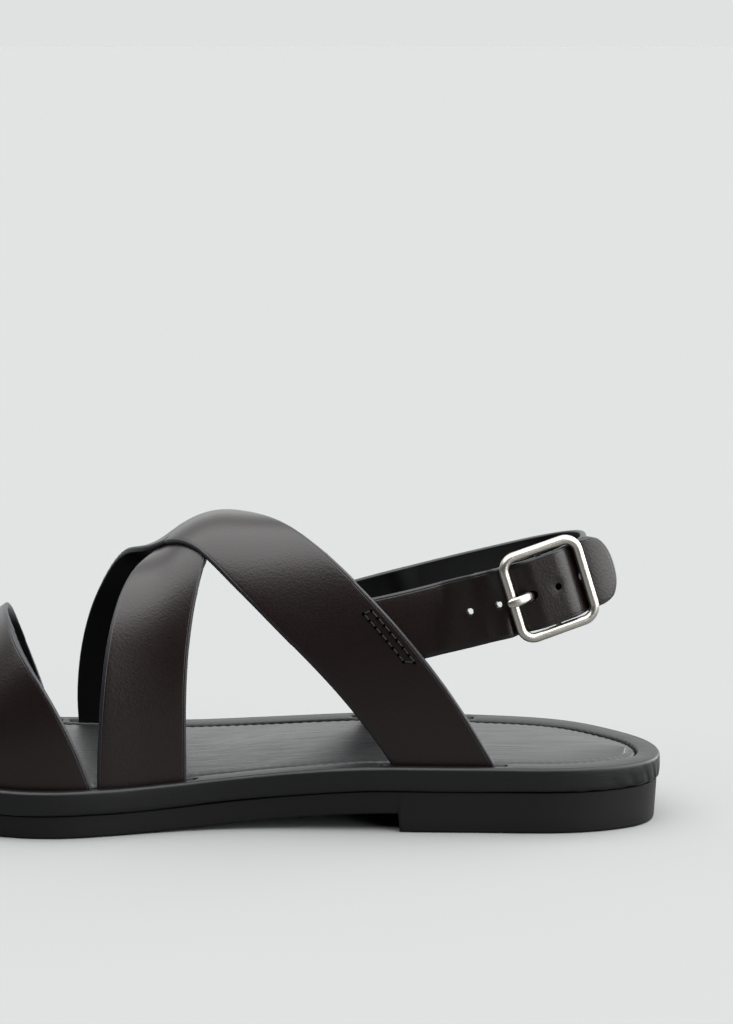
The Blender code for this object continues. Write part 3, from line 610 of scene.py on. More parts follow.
class Value:
    """A shader value that adds Math nodes when it is used in an expression."""

    def __init__(self, nodes, socket):
        self.nodes = nodes
        self.socket = socket

    def __add__(self, other):
        return self.nodes.math("ADD", self, other)

    def __sub__(self, other):
        return self.nodes.math("SUBTRACT", self, other)

    def __mul__(self, other):
        return self.nodes.math("MULTIPLY", self, other)

    def __rsub__(self, other):
        return self.nodes.math("SUBTRACT", other, self)

    __radd__ = __add__
    __rmul__ = __mul__

    def above(self, low, high):
        """0 below low, 1 above high and smooth between them."""
        node = self.nodes.node("ShaderNodeMapRange", {"interpolation_type": "SMOOTHSTEP"},
                                {"Value": self, "From Min": low, "From Max": high})
        return Value(self.nodes, node.outputs["Result"])


class Nodes:
    """A node tree whose nodes are added one by one."""

    def __init__(self, tree):
        self.tree = tree

    def node(self, kind, settings=None, values=None):
        """A new node with its settings, and with its inputs fed."""
        made = self.tree.nodes.new(kind)
        for key, value in (settings or {}).items():
            setattr(made, key, value)
        for key, value in (values or {}).items():
            self.feed(made.inputs[key], value)
        return made

    def feed(self, socket, value):
        """A link from a value or a socket, or else a plain value."""
        if isinstance(value, Value):
            value = value.socket
        if isinstance(value, bpy.types.NodeSocket):
            self.tree.links.new(value, socket)
        else:
            socket.default_value = value

    def math(self, operation, *values):
        """The result of a Math node on the values."""
        node = self.node("ShaderNodeMath", {"operation": operation}, dict(enumerate(values)))
        return Value(self, node.outputs[0])


class Finish(Nodes):
    """A material on one Principled shader."""

    def __init__(self, name, **plain):
        self.material = bpy.data.materials.new(name)
        self.material.use_nodes = True
        super().__init__(self.material.node_tree)
        self.shader = self.tree.nodes["Principled BSDF"]
        for socket, value in plain.items():
            self.shader.inputs[socket.replace("_", " ")].default_value = value
        self.object_place = self.node("ShaderNodeTexCoord").outputs["Object"]

    def stretched(self, scale):
        """Object coordinates with each axis scaled, so that a pattern runs along one of them."""
        node = self.node("ShaderNodeMapping", None, {"Vector": self.object_place, "Scale": scale})
        return node.outputs["Vector"]

    def along(self, axis, place=(0.0, 0.0, 0.0)):
        """How far the shaded point lies from a place along an axis."""
        values = {0: self.object_place, 1: axis}
        node = self.node("ShaderNodeVectorMath", {"operation": "DOT_PRODUCT"}, values)
        return Value(self, node.outputs["Value"]) - float(np.dot(axis, place))

    def noise(self, scale, detail=2.0, rough=0.5, stretch=None):
        """Cloudy noise between 0 and 1, drawn out along an axis whose share in stretch is small."""
        vector = self.stretched(stretch) if stretch else self.object_place
        node = self.node("ShaderNodeTexNoise", None,
                         {"Vector": vector, "Scale": scale, "Detail": detail, "Roughness": rough})
        return Value(self, node.outputs["Fac"])

    def cells(self, scale):
        """Distance to the middle of the nearest pebble of a leather grain."""
        values = {"Vector": self.object_place, "Scale": scale}
        node = self.node("ShaderNodeTexVoronoi", {"feature": "F1"}, values)
        return Value(self, node.outputs["Distance"])

    def attribute(self, name):
        """A value that the mesh carries at its points."""
        node = self.node("ShaderNodeAttribute", {"attribute_name": name})
        return Value(self, node.outputs["Fac"])

    def mix(self, share, first, second):
        """A colour between two, the first one at 0."""
        node = self.node("ShaderNodeMix", {"data_type": "RGBA"}, {0: share, 6: first, 7: second})
        return node.outputs[2]

    def mottled(self, share, colour, dark, light):
        """A colour that goes with a pattern from one multiple of itself to another."""
        return self.mix(share, shade(colour, dark), shade(colour, light))

    def colour(self, value):
        """The material's colour, from a pattern or a plain value."""
        self.feed(self.shader.inputs["Base Color"], value)

    def roughness(self, level, *swings):
        """A roughness and its swings, each a pattern about its middle and how far its whole range reaches."""
        for pattern, reach in swings:
            level = level + (pattern - 0.5) * reach
        self.feed(self.shader.inputs["Roughness"], level)

    def relief(self, height, distance):
        """Bump, with height 0 to 1 standing for a relief of that many metres."""
        node = self.node("ShaderNodeBump", None, {"Height": height, "Distance": distance, "Strength": 1.0})
        self.feed(self.shader.inputs["Normal"], node.outputs["Normal"])


def shade(colour, factor=1.0):
    """A multiple of a colour, with the fourth value that a socket takes."""
    return (colour[0] * factor, colour[1] * factor, colour[2] * factor, 1.0)


# Where the straps' painted edges fade and where the line creased beside them lies, as distances inside the
# nearest edge, and where their outer face and their back fade, as shares of the thickness
PAINT_FADE = (0.0005, 0.0009)
CREASE_START = (0.0008, 0.0011)
CREASE_END = (0.0011, 0.0014)
FACE_FADE = (0.70, 0.80)
BACK_FADE = (0.05, 0.12)


def strap_leather(looks):
    """Dark brown grained leather with a smooth black back, painted edges and a line creased beside them."""
    finish = Finish("grained_strap", Specular_IOR_Level=looks.strap_gloss)
    inside = finish.attribute("inside")
    outer = finish.attribute("outer")
    face = outer.above(*FACE_FADE)
    painted = (1 - inside.above(*PAINT_FADE)) * outer.above(*BACK_FADE)
    crease = inside.above(*CREASE_START) * (1 - inside.above(*CREASE_END)) * face
    brown = finish.mottled(finish.noise(90.0, detail=4.0, rough=0.6), looks.strap_colour, 0.75, 1.25)
    backed = finish.mix(face, shade(looks.lining_colour), brown)
    finish.colour(finish.mix(painted, backed, shade(looks.edge_colour)))
    pebbles = finish.cells(1 / looks.strap_grain)
    fine = finish.noise(1.4 / looks.strap_grain, detail=3.0)
    rub = finish.noise(25.0, detail=3.0)
    finish.roughness(looks.strap_roughness + painted * 0.12, (rub, 0.14), (fine, 0.12))
    grain = (pebbles * 0.5 + fine * 0.8) * face * (1 - painted)
    finish.relief(grain * 0.35 - crease * 0.4, looks.strap_grain * 0.16)
    return finish.material


def wrap_leather(looks):
    """The footbed's black wrap: smoother, with faint pulls along it."""
    finish = Finish("smooth_wrap", Specular_IOR_Level=looks.wrap_gloss)
    finish.colour(finish.mottled(finish.noise(60.0, detail=4.0, rough=0.6), looks.wrap_colour, 0.8, 1.2))
    fine = finish.noise(1.2 / looks.strap_grain, detail=3.0)
    pulls = finish.noise(500.0, detail=4.0, rough=0.65, stretch=(0.10, 0.5, 1.0))
    finish.roughness(looks.wrap_roughness, (fine, 0.10), (pulls, 0.12))
    finish.relief(fine * 0.3 + pulls, looks.strap_grain * 0.12)
    return finish.material


def sock_leather(looks):
    """The sock's leather, brushed lengthwise into fine streaks."""
    finish = Finish("sock_leather", Specular_IOR_Level=looks.sock_gloss)
    streaks = finish.noise(900.0, detail=5.0, rough=0.7, stretch=(0.035, 1.0, 1.0))
    cloud = finish.noise(30.0, detail=3.0, rough=0.6, stretch=(0.4, 1.0, 1.0))
    finish.colour(finish.mottled(streaks * 0.6 + cloud * 0.4, looks.sock_colour, 0.75, 1.3))
    finish.roughness(looks.sock_roughness, (streaks, 0.45), (cloud, 0.20))
    finish.relief(streaks, looks.strap_grain * 0.16)
    return finish.material


def sole_rubber(looks):
    """Matt black rubber with a faint skin."""
    finish = Finish("sole_rubber", Specular_IOR_Level=looks.rubber_gloss)
    skin = finish.noise(900.0, detail=3.0, rough=0.6)
    patch = finish.noise(40.0, detail=3.0)
    finish.colour(finish.mottled(patch, looks.rubber_colour, 0.85, 1.15))
    finish.roughness(looks.rubber_roughness, (skin, 0.12), (patch, 0.08))
    finish.relief(skin, 0.00004)
    return finish.material


def satin_nickel(looks):
    """Nickel brushed fine, with cloudier patches."""
    finish = Finish("satin_nickel", Metallic=1.0)
    brush = finish.noise(2500.0, detail=3.0, rough=0.6, stretch=(0.3, 0.3, 1.0))
    cloud = finish.noise(160.0, detail=3.0)
    finish.colour(finish.mottled(cloud, looks.metal_colour, 0.94, 1.04))
    finish.roughness(looks.metal_roughness, (brush, 0.10), (cloud, 0.08))
    finish.relief(brush, 0.00001)
    return finish.material


def waxed_thread(looks):
    """Black thread with its twist as a fine relief."""
    finish = Finish("waxed_thread", Specular_IOR_Level=0.16)
    twist = finish.noise(2500.0)
    finish.colour(finish.mottled(twist, looks.thread_colour, 0.7, 1.4))
    finish.roughness(0.45, (twist, 0.2))
    finish.relief(twist, 0.0001)
    return finish.material


def hole_shadow(looks):
    """Painted shade for a stitch hole: near black, mottled a little by noise."""
    finish = Finish("hole_shadow", Specular_IOR_Level=0.0)
    shade_speckle = finish.noise(1800.0)
    finish.colour(finish.mottled(shade_speckle, looks.thread_colour, 0.05, 0.4))
    finish.roughness(0.8, (shade_speckle, 0.2))
    return finish.material


def length_value(name, description, default, low=0.0, high=0.02):
    """A length in metres."""
    return FloatProperty(name=name, description=description, default=default, min=low, max=high,
                         precision=5, subtype="DISTANCE", unit="LENGTH")


def share_value(name, description, default):
    """A share from 0 to 1."""
    return FloatProperty(name=name, description=description, default=default, min=0.0, max=1.0,
                         subtype="FACTOR")


def tint_value(name, description, default):
    """A colour of three linear values."""
    return FloatVectorProperty(name=name, description=description, default=default, min=0.0, max=1.0,
                               subtype="COLOR", size=3)


def light_value(name, description, default):
    """A brightness."""
    return FloatProperty(name=name, description=description, default=default, min=0.0, max=20.0)


class SandalLooks(bpy.types.PropertyGroup):
    """Sizes and colours that can be changed by hand."""

    strap_grain: length_value("Strap grain", "Size of a pebble of the strap leather", 0.0009, 0.0002, 0.003)
    seam_pitch: length_value("Seam pitch", "Length of a stitch round the sock", 0.0034, 0.001, 0.01)
    hole_radius: length_value("Hole radius", "Radius of a stitch hole at the joint", 0.00050, 0.0002, 0.002)
    thread_radius: length_value("Thread radius", "Radius of the stitches' thread", 0.00034, 0.0001, 0.001)
    strap_colour: tint_value("Strap colour", "Outer face of the straps", (0.0027, 0.0009, 0.0008))
    lining_colour: tint_value("Lining colour", "Inner face of the straps", (0.0008, 0.0008, 0.0009))
    edge_colour: tint_value("Edge colour", "Painted edges of the straps", (0.0022, 0.0028, 0.0050))
    wrap_colour: tint_value("Wrap colour", "Leather round the footbed", (0.0020, 0.0020, 0.0023))
    sock_colour: tint_value("Sock colour", "Leather of the sock", (0.0075, 0.0075, 0.0082))
    rubber_colour: tint_value("Rubber colour", "Sole", (0.0034, 0.0032, 0.0034))
    metal_colour: tint_value("Metal colour", "Buckle and prong", (0.30, 0.285, 0.258))
    thread_colour: tint_value("Thread colour", "Stitches", (0.0020, 0.0020, 0.0021))
    horizon_light: light_value("Horizon", "Brightness of the backdrop at the floor", 0.745)
    backdrop_light: light_value("Backdrop", "What the backdrop gains in brightness above the floor", 1.10)
    overhead_light: light_value("Overhead light", "Brightness of the soft light overhead", 8.0)
    heel_light: light_value("Heel light", "Brightness of the light at the heel", 9.0)
    camera_side_light: light_value("Camera side", "Brightness of the room at the camera", 0.012)
    strap_gloss: share_value("Strap gloss", "Reflection of the straps", 0.25)
    strap_roughness: share_value("Strap roughness", "Roughness of the straps", 0.35)
    wrap_gloss: share_value("Wrap gloss", "Reflection of the footbed", 0.20)
    sock_gloss: share_value("Sock gloss", "Reflection of the sock", 0.30)
    wrap_roughness: share_value("Wrap roughness", "Roughness of the wrap", 0.42)
    sock_roughness: share_value("Sock roughness", "Roughness of the sock", 0.40)
    rubber_gloss: share_value("Rubber gloss", "Reflection of the sole", 0.13)
    rubber_roughness: share_value("Rubber roughness", "Roughness of the sole", 0.60)
    metal_roughness: share_value("Metal roughness", "Roughness of the buckle", 0.33)


class SandalShape(bpy.types.PropertyGroup):
    """Forms of the leather that can be changed by hand."""

    rim_edge: length_value("Rim edge", "Radius of the rim's outer edge", 0.0013)
    seam_depth: length_value("Seam depth", "Depth of the seam round the sock", 0.0016)
    pleat_depth: length_value("Pleat depth", "Depth of the pleats at the back of the heel", 0.00080)
    sock_crown: length_value("Sock crown", "Rise of the sock over its edge", 0.0012)


# The wrap round the footbed: its wall, its rim and the seam beside the sock
SEAM_INSET = RIM_WIDTH
SEAM_HALF_WIDTH = 0.0006
SEAM_LIP = 0.0007
SEAM_PUCKER = 0.0005
WALL_FOOT = 0.0009
WALL_INSET = 0.0015
WALL_BULGE = 0.00018
RIM_CREST = 0.0035
RIM_DOME = 0.00025
HEM_START = 0.9
HEM_RISE = 0.00010
HEM_HEEL_REACH = 0.035

# Its underside. Columns: inset from the outline, height over the footbed's lower level
UNDERSIDE = (
    (0.0040, 0.0),
    (0.0012, 0.0),
    (0.0003, 0.0003),
)

# The groove of the seam. Columns: inset from the seam, share of the seam's depth
GROOVE = (
    (-0.0004, 0.30),
    (-0.0002, 0.60),
    (0.0, 1.0),
    (0.0003, 1.0),
)

# The recess under the sock: insets from the seam
RECESS = (0.0007, 0.0040)

# Waves of the hem. Columns: height, length along the outline in which the wave turns by one radian,
# turn that it starts with, whether it fades away ahead of the heel
HEM_WAVES = (
    (0.00012, 0.0210, 0.0, False),
    (0.00010, 0.0083, 1.0, False),
    (0.00016, 0.0011, 0.0, True),
    (0.00012, 0.0019, 2.0, True),
)

# Gathers round the back of the heel.
# Columns: place along the outline from its rearmost point, half width, share of the pleats' depth
PLEATS = (
    (-0.0220, 0.0016, 0.40),
    (-0.0150, 0.0009, 0.60),
    (-0.0100, 0.0009, 0.80),
    (-0.0040, 0.0008, 0.70),
    (0.0060, 0.0007, 1.00),
    (0.0095, 0.0008, 0.80),
    (0.0130, 0.0007, 0.90),
    (0.0175, 0.0009, 0.60),
    (0.0240, 0.0016, 0.40),
    (0.0310, 0.0022, 0.25),
)
PLEAT_SLANT = 0.45
PLEAT_GROWTH = 1.5

# Slots for the straps in the rim
SLOT_DEPTH = 0.0055
SLOT_LIP = 0.0009
SLOT_LIP_SHARE = 0.35
SLOT_WALL = 0.0003
SLOT_HALF = STRAP_THICKNESS / 2 + GAP
SLOT_REACH = 0.008

# The sock and the pucker that its stitches leave in its edge
SOCK_GAP = 0.0004
SOCK_SINK = 0.0003
SOCK_SIDE = 0.0010
SOCK_PUCKER = 0.00045
SOCK_PUCKER_REACH = 0.0015
SWELL_ROWS = 12

# The sock's edge. Columns: inset from its side, drop under its upper level
SOCK_EDGE = (
    (0.0, 0.00270),
    (0.0, 0.00120),
    (0.0002, 0.00075),
    (0.0006, 0.00042),
    (0.0012, 0.00022),
    (0.0020, 0.00010),
    (0.0032, 0.00002),
)

# The sole's rounded lower edge, its upper edge, and where its side has rows, as shares of the side's height
SOLE_EDGE = 0.0010
SOLE_TOP_EDGE = (0.0003, 0.0002)
SOLE_SIDE = (0.3, 0.6, 0.85, 1.0)


def ring_shell(levels, count):
    """Faces of a closed shell of rings, one over the other, with a cap on the first and on the last."""
    faces = grid_faces(levels, count, wrap_columns=True) + closing_faces(0, count)
    return faces + [face[::-1] for face in closing_faces((levels - 1) * count, count)]


def stitch_wave(ring, looks):
    """A cosine between 0 and 1 along a ring, with one wave for each stitch."""
    return 0.5 + 0.5 * np.cos(2 * math.pi * ring_length(ring) / looks.seam_pitch)


def slot_lines():
    """The middle lines of the slots at the footbed, as arrays of points in plan."""
    lines = []
    for route, width in ((OVER_STRAP, cross_width), (UNDER_STRAP, cross_width), (TOE_STRAP, toe_width)):
        frames = last_strap(route)

        def longer(share):
            """The slot's length, past the strap at both ends."""
            return width(share) + 2 * SLOT_END

        def middle(share):
            """The lift of the strap's middle."""
            return STRAP_THICKNESS / 2 + 0.0 * share

        rails = strap_rails(frames, longer, middle, np.linspace(-1.0, 1.0, 15))
        for first in (True, False):
            ends = [crossing(rail, footbed_top, first) for rail in rails]
            lines.append(np.array([read_off(at, np.arange(len(rail)), rail[:, :2])
                                   for at, rail in zip(ends, rails)]))
    return lines


def slot_depth(points):
    """How far the rim is cut down at points in plan: all the way in a slot, and a little at its lips.

    The distance to a slot is that to the nearest of its straight stretches.
    """
    drop = np.zeros(len(points))
    for line in slot_lines():
        to_line = np.min(np.linalg.norm(points[:, None] - line[None, ::2], axis=2), axis=1)
        near = np.flatnonzero(to_line < SLOT_REACH)
        if len(near) == 0:
            continue
        start, end = line[:-1], line[1:]
        run = end - start
        away = points[near][:, None] - start[None]
        share = np.clip(np.sum(away * run, axis=2) / np.sum(run * run, axis=1), 0.0, 1.0)
        distance = np.min(np.linalg.norm(away - share[..., None] * run, axis=2), axis=1) - SLOT_HALF
        cut = 1 - smoothstep(distance / SLOT_WALL + 0.5)
        lip = SLOT_LIP_SHARE * SLOT_LIP * np.exp(-np.maximum(distance, 0.0) / SLOT_LIP)
        drop[near] = np.maximum(drop[near], cut * SLOT_DEPTH + (1 - cut) * lip)
    return drop


def heel_pleats(ring, drop):
    """Depth of the gathers in the wrap round the back of the heel, by the length round the outline.

    Each gather slants: the lower down the wall, the further it lies from the side that the camera sees.
    """
    length = ring_length(ring)
    total = length[-1]
    middle_rear = np.where(length > total / 2, length - total, length)[None] + PLEAT_SLANT * drop[:, None]
    return sum(share * np.exp(-(((middle_rear - place) / width) ** 2)) for place, width, share in PLEATS)


def hem_waves(ring):
    """The hem's rise along the ring: a sum of sines, some of them only round the heel."""
    length = ring_length(ring)
    at_heel = np.exp(-((ring[:, 0] / HEM_HEEL_REACH) ** 2))
    return sum(rise * np.sin(length / radian + start) * (at_heel if fades else 1.0)
               for rise, radian, start, fades in HEM_WAVES)


def footbed_section(shape):
    """The footbed's section as insets and drops: from its underside up the wall and over the rim.

    A quarter circle joins the wall to the rim's top, which is a shallow parabola. The seam's groove goes down
    in steps from where the parabola ends.
    """
    edge = shape.rim_edge
    turn = np.linspace(0.0, math.pi / 2, 7)[1:]
    wall = np.linspace(MIDSOLE_THICKNESS - WALL_FOOT, edge, 8)
    top = np.linspace(edge, SEAM_INSET - SEAM_LIP, 26)[1:]
    dome = RIM_DOME * ((top - RIM_CREST) / RIM_CREST) ** 2
    under_inset, under_rise = np.array(UNDERSIDE).T
    groove_inset, groove_share = np.array(GROOVE).T
    inset = np.concatenate([under_inset, 0.0 * wall, edge - edge * np.cos(turn), top,
                            SEAM_INSET + groove_inset, SEAM_INSET + np.array(RECESS)])
    drop = np.concatenate([MIDSOLE_THICKNESS - under_rise, wall, edge - edge * np.sin(turn), dome,
                           dome[-1] + groove_share * shape.seam_depth, np.full(len(RECESS), RECESS_DEPTH)])
    return inset, drop


class SANDAL_OT_footbed(bpy.types.Operator):
    """Make the wrapped footbed: wall, rounded rim, slots for the straps and the seam round the sock"""

    bl_idname = "sandal.footbed"
    bl_label = "Footbed"

    def execute(self, context):
        shape, looks = context.scene.sandal_shape, context.scene.sandal_looks
        ring, inwards = outline_ring(FOOTBED_STEPS)
        inset, drop = footbed_section(shape)
        flat = ring[None] + inwards[None] * inset[:, None, None]
        height = footbed_top(flat[..., 0]) - drop[:, None]

        seam = np.exp(-(((inset - SEAM_INSET) / SEAM_HALF_WIDTH) ** 2))
        height -= SEAM_PUCKER * seam[:, None] * stitch_wave(ring, looks)[None]
        outside = inset < WALL_INSET
        on_wall = np.clip(drop / MIDSOLE_THICKNESS, 0.0, 1.0) ** PLEAT_GROWTH * outside
        pull = shape.pleat_depth * on_wall[:, None] * heel_pleats(ring, drop)
        on_side = (inset < shape.rim_edge) & (drop > 0.0)
        bulge = on_side * WALL_BULGE * np.sin(math.pi * drop / MIDSOLE_THICKNESS)
        flat += inwards[None] * (pull - bulge[:, None])[..., None]
        hem = (drop > MIDSOLE_THICKNESS * HEM_START) & outside
        height += hem[:, None] * (hem_waves(ring) - HEM_RISE)[None]
        on_rim = np.flatnonzero((inset > shape.rim_edge) & (inset < SEAM_INSET))
        height[on_rim] -= slot_depth(flat[on_rim].reshape(-1, 2)).reshape(len(on_rim), -1)

        points = np.concatenate([flat, height[..., None]], axis=-1)
        faces = ring_shell(len(inset), len(ring))
        new_object("footbed_wrap", points, faces, wrap_leather(looks), "midsole")
        return {"FINISHED"}


def closing_faces(start, count):
    """Faces from side to side that close a ring of points, from heel to toe."""
    half = count // 2
    faces = [[start, start + 1, start + count - 1]]
    i = np.arange(1, half - 1)
    faces += np.stack([start + i, start + i + 1, start + count - i - 1, start + count - i], axis=1).tolist()
    faces.append([start + half - 1, start + half, start + half + 1])
    return faces


class SANDAL_OT_sock(bpy.types.Operator):
    """Make the padded sock inside the rim"""

    bl_idname = "sandal.sock"
    bl_label = "Sock"

    def execute(self, context):
        shape, looks = context.scene.sandal_shape, context.scene.sandal_looks
        ring, inwards = outline_ring(SOLE_STEPS)
        count = len(ring)
        pucker = SOCK_PUCKER * stitch_wave(ring, looks)
        rows = []
        for inset, drop in SOCK_EDGE:
            flat = ring + inwards * (SEAM_INSET + SOCK_GAP + inset)
            near = math.exp(-inset / SOCK_PUCKER_REACH) if drop < SOCK_SIDE else 0.0
            rows.append(np.column_stack([flat, footbed_top(flat[:, 0]) - SOCK_SINK - drop - pucker * near]))
        border = rows[-1][:, :2]
        middle = (border + border[(count - np.arange(count)) % count]) / 2
        for share in np.linspace(0.0, 1.0, 27)[1:-1]:
            flat = border * (1 - share) + middle * share
            crown = shape.sock_crown * math.sin(share * math.pi / 2)
            rows.append(np.column_stack([flat, footbed_top(flat[:, 0]) - SOCK_SINK + crown]))
        points = np.array(rows)
        swell = soft_swell(points[..., 0], points[..., 1])
        points[..., 2] += swell * smoothstep(np.arange(len(rows)) / SWELL_ROWS)[:, None]
        faces = ring_shell(len(rows), count)
        new_object("sock", points, faces, sock_leather(looks), "insole")
        return {"FINISHED"}


def soft_swell(x, y):
    """The padding's broad swells, sums and products of sines, less a shallow bell as a seat for the heel."""
    broad, small, seat = 0.00012, 0.00008, 0.0006
    seat_x, seat_y, seat_length, seat_width = 0.045, 0.002, 0.028, 0.018
    waves = broad * np.sin(x / 0.017 + 0.6) * np.cos(y / 0.013) + small * np.sin(x / 0.0071 - y / 0.009)
    return waves - seat * np.exp(-(((x - seat_x) / seat_length) ** 2) - (((y - seat_y) / seat_width) ** 2))


class SANDAL_OT_sole(bpy.types.Operator):
    """Make the rubber sole with its heel block and arch"""

    bl_idname = "sandal.sole"
    bl_label = "Sole"

    def execute(self, context):
        ring, inwards = outline_ring(SOLE_STEPS)
        rows = []
        for turn in np.linspace(math.pi / 2, 0.0, 5):
            flat = ring + inwards * (OUTSOLE_SETBACK + HEEL_TAPER + SOLE_EDGE * (1 - math.cos(turn)))
            height = outsole_bottom(flat[:, 0]) + SOLE_EDGE * (1 - math.sin(turn))
            rows.append(np.column_stack([flat, height]))
        top_inset, top_drop = SOLE_TOP_EDGE
        for share in SOLE_SIDE:
            flat = ring + inwards * (OUTSOLE_SETBACK + HEEL_TAPER * (1 - share))
            low = outsole_bottom(flat[:, 0]) + SOLE_EDGE
            high = outsole_top(flat[:, 0]) - top_drop
            rows.append(np.column_stack([flat, low + (high - low) * share]))
        flat = ring + inwards * (OUTSOLE_SETBACK + top_inset)
        rows.append(np.column_stack([flat, outsole_top(flat[:, 0])]))
        rubber = sole_rubber(context.scene.sandal_looks)
        faces = ring_shell(len(rows), len(ring))
        made = new_object("rubber_sole", np.array(rows), faces, rubber, "outsole")
        made.data.set_sharp_from_angle(angle=SOLE_SHARP_ANGLE)
        return {"FINISHED"}


def shared_strap_leather(context):
    """The straps' one material, made by the first strap that asks for it."""
    found = bpy.data.materials.get("grained_strap")
    return found or strap_leather(context.scene.sandal_looks)


# The stitch rows that hold the ankle strap's joint, each from its upper to its lower end.
# Columns: place across the over strap from -1 to 1 at both ends, share of the strap's length at both ends
JOINT_ROWS = (
    (0.80, 0.77, 0.714, 0.803),
    (0.62, 0.59, 0.717, 0.800),
)
JOINT_HOLES = 8
# How far the dark discs at the stitch holes, painted shade for the holes, reach below the leather
JOINT_HOLE_DEPTH = 0.0004

# A stitch's rise over the leather, in radii of its thread: how far it stands up, and how deep its ends lie
STITCH_RISE = 1.6
STITCH_SINK = 1.5


def joint_holes():
    """The stitch rows' holes on the over strap's outer face, and the face's normals there."""
    samples, rows = 61, OVER_STRAP_ROWS
    face = strap_surface(OVER_STRAP, cross_width, raised, rows)(np.linspace(-1.0, 1.0, samples))
    normal = unit(np.cross(np.gradient(face, axis=1), np.gradient(face, axis=0)))
    normal *= np.sign(normal[samples // 2, rows // 2, 2])
    across_start, across_end, start, end = np.array(JOINT_ROWS).T[..., None]
    share = np.linspace(0.0, 1.0, JOINT_HOLES)
    i = (1 + across_start + (across_end - across_start) * share) / 2 * (samples - 1)
    j = (start + (end - start) * share) * (rows - 1)
    low_i, low_j = i.astype(int), j.astype(int)
    part_i, part_j = (i - low_i)[..., None], (j - low_j)[..., None]

    def between(grid):
        """A grid's values at the holes, on straight lines between its points both ways."""
        near = grid[low_i, low_j] * (1 - part_j) + grid[low_i, low_j + 1] * part_j
        far = grid[low_i + 1, low_j] * (1 - part_j) + grid[low_i + 1, low_j + 1] * part_j
        return near * (1 - part_i) + far * part_i

    normals = unit(between(normal))
    return between(face) + normals * STRAP_THICKNESS, normals


class SANDAL_OT_joint_stitches(bpy.types.Operator):
    """Make the stitches that hold the ankle strap's joint, two rows joined at both ends, and painted shade in
    their holes
    """

    bl_idname = "sandal.joint_stitches"
    bl_label = "Joint stitches"

    def execute(self, context):
        looks = context.scene.sandal_looks
        holes, normals = joint_holes()

        def stitch_starts(grid):
            """A grid's values at the holes where stitches start: along both rows, then across both ends."""
            return np.vstack([grid[0, :-1], grid[1, :-1], grid[0, ::JOINT_HOLES - 1]])

        ends = np.vstack([holes[0, 1:], holes[1, 1:], holes[1, ::JOINT_HOLES - 1]])
        share = np.linspace(0.0, 1.0, 11)[:, None]
        lift = looks.thread_radius * (STITCH_RISE * np.sin(math.pi * share) ** 0.5 - STITCH_SINK)
        radius = looks.thread_radius
        points, faces = gathered(
            wire_mesh(start + (end - start) * share + normal * lift, normal, radius, 10, closed=False)
            for start, end, normal in zip(stitch_starts(holes), ends, stitch_starts(normals)))
        new_object("joint_thread", points, faces, waxed_thread(looks), "upper")
        # Dark discs at the stitch holes: painted shade standing in for the shadow inside each hole
        depth = np.array([[-JOINT_HOLE_DEPTH], [0.0], [looks.thread_radius]])
        points, faces = gathered(
            wire_mesh(hole + normal * depth, (0.0, 0.0, 1.0), looks.hole_radius, 14, closed=False)
            for hole, normal in zip(holes.reshape(-1, 3), normals.reshape(-1, 3)))
        new_object("joint_holes", points, faces, hole_shadow(looks), "upper")
        return {"FINISHED"}


def gathered(wires):
    """Several wires with equally many points as one list of points and one of faces."""
    points, faces = [], []
    for wire, its_faces in wires:
        faces += [[corner + len(points) * len(wire) for corner in face] for face in its_faces]
        points.append(wire)
    return np.array(points), faces


class SANDAL_OT_cross_straps(bpy.types.Operator):
    """Make the two cross straps and the strap over the toes"""

    bl_idname = "sandal.cross_straps"
    bl_label = "Cross straps"

    def execute(self, context):
        leather = shared_strap_leather(context)
        half = CROSS_STRAP_WIDTH * CROSS_MEAN / 2
        for name, route, width, lift, rows, half_width, node in (
            ("over_strap", OVER_STRAP, cross_width, raised, OVER_STRAP_ROWS, half, "upper"),
            ("under_strap", UNDER_STRAP, cross_width, level, 280, half, "upper"),
            ("toe_band", TOE_STRAP, toe_width, level, 240, TOE_STRAP_WIDTH / 2, "toe_strap"),
        ):
            strap_shell(name, strap_surface(route, width, lift, rows), half_width, leather, node)
        return {"FINISHED"}


def softened(line, reach, rounds=3):
    """A line of points, each moved to the mean of its neighbours, round by round, with its ends kept."""
    window = np.ones(2 * reach + 1) / (2 * reach + 1)
    for _ in range(rounds):
        before = 2 * line[0] - line[reach:0:-1]
        after = 2 * line[-1] - line[-2:-reach - 2:-1]
        longer = np.vstack([before, line, after])
        line = np.column_stack([np.convolve(column, window, mode="valid") for column in longer.T])
    return line


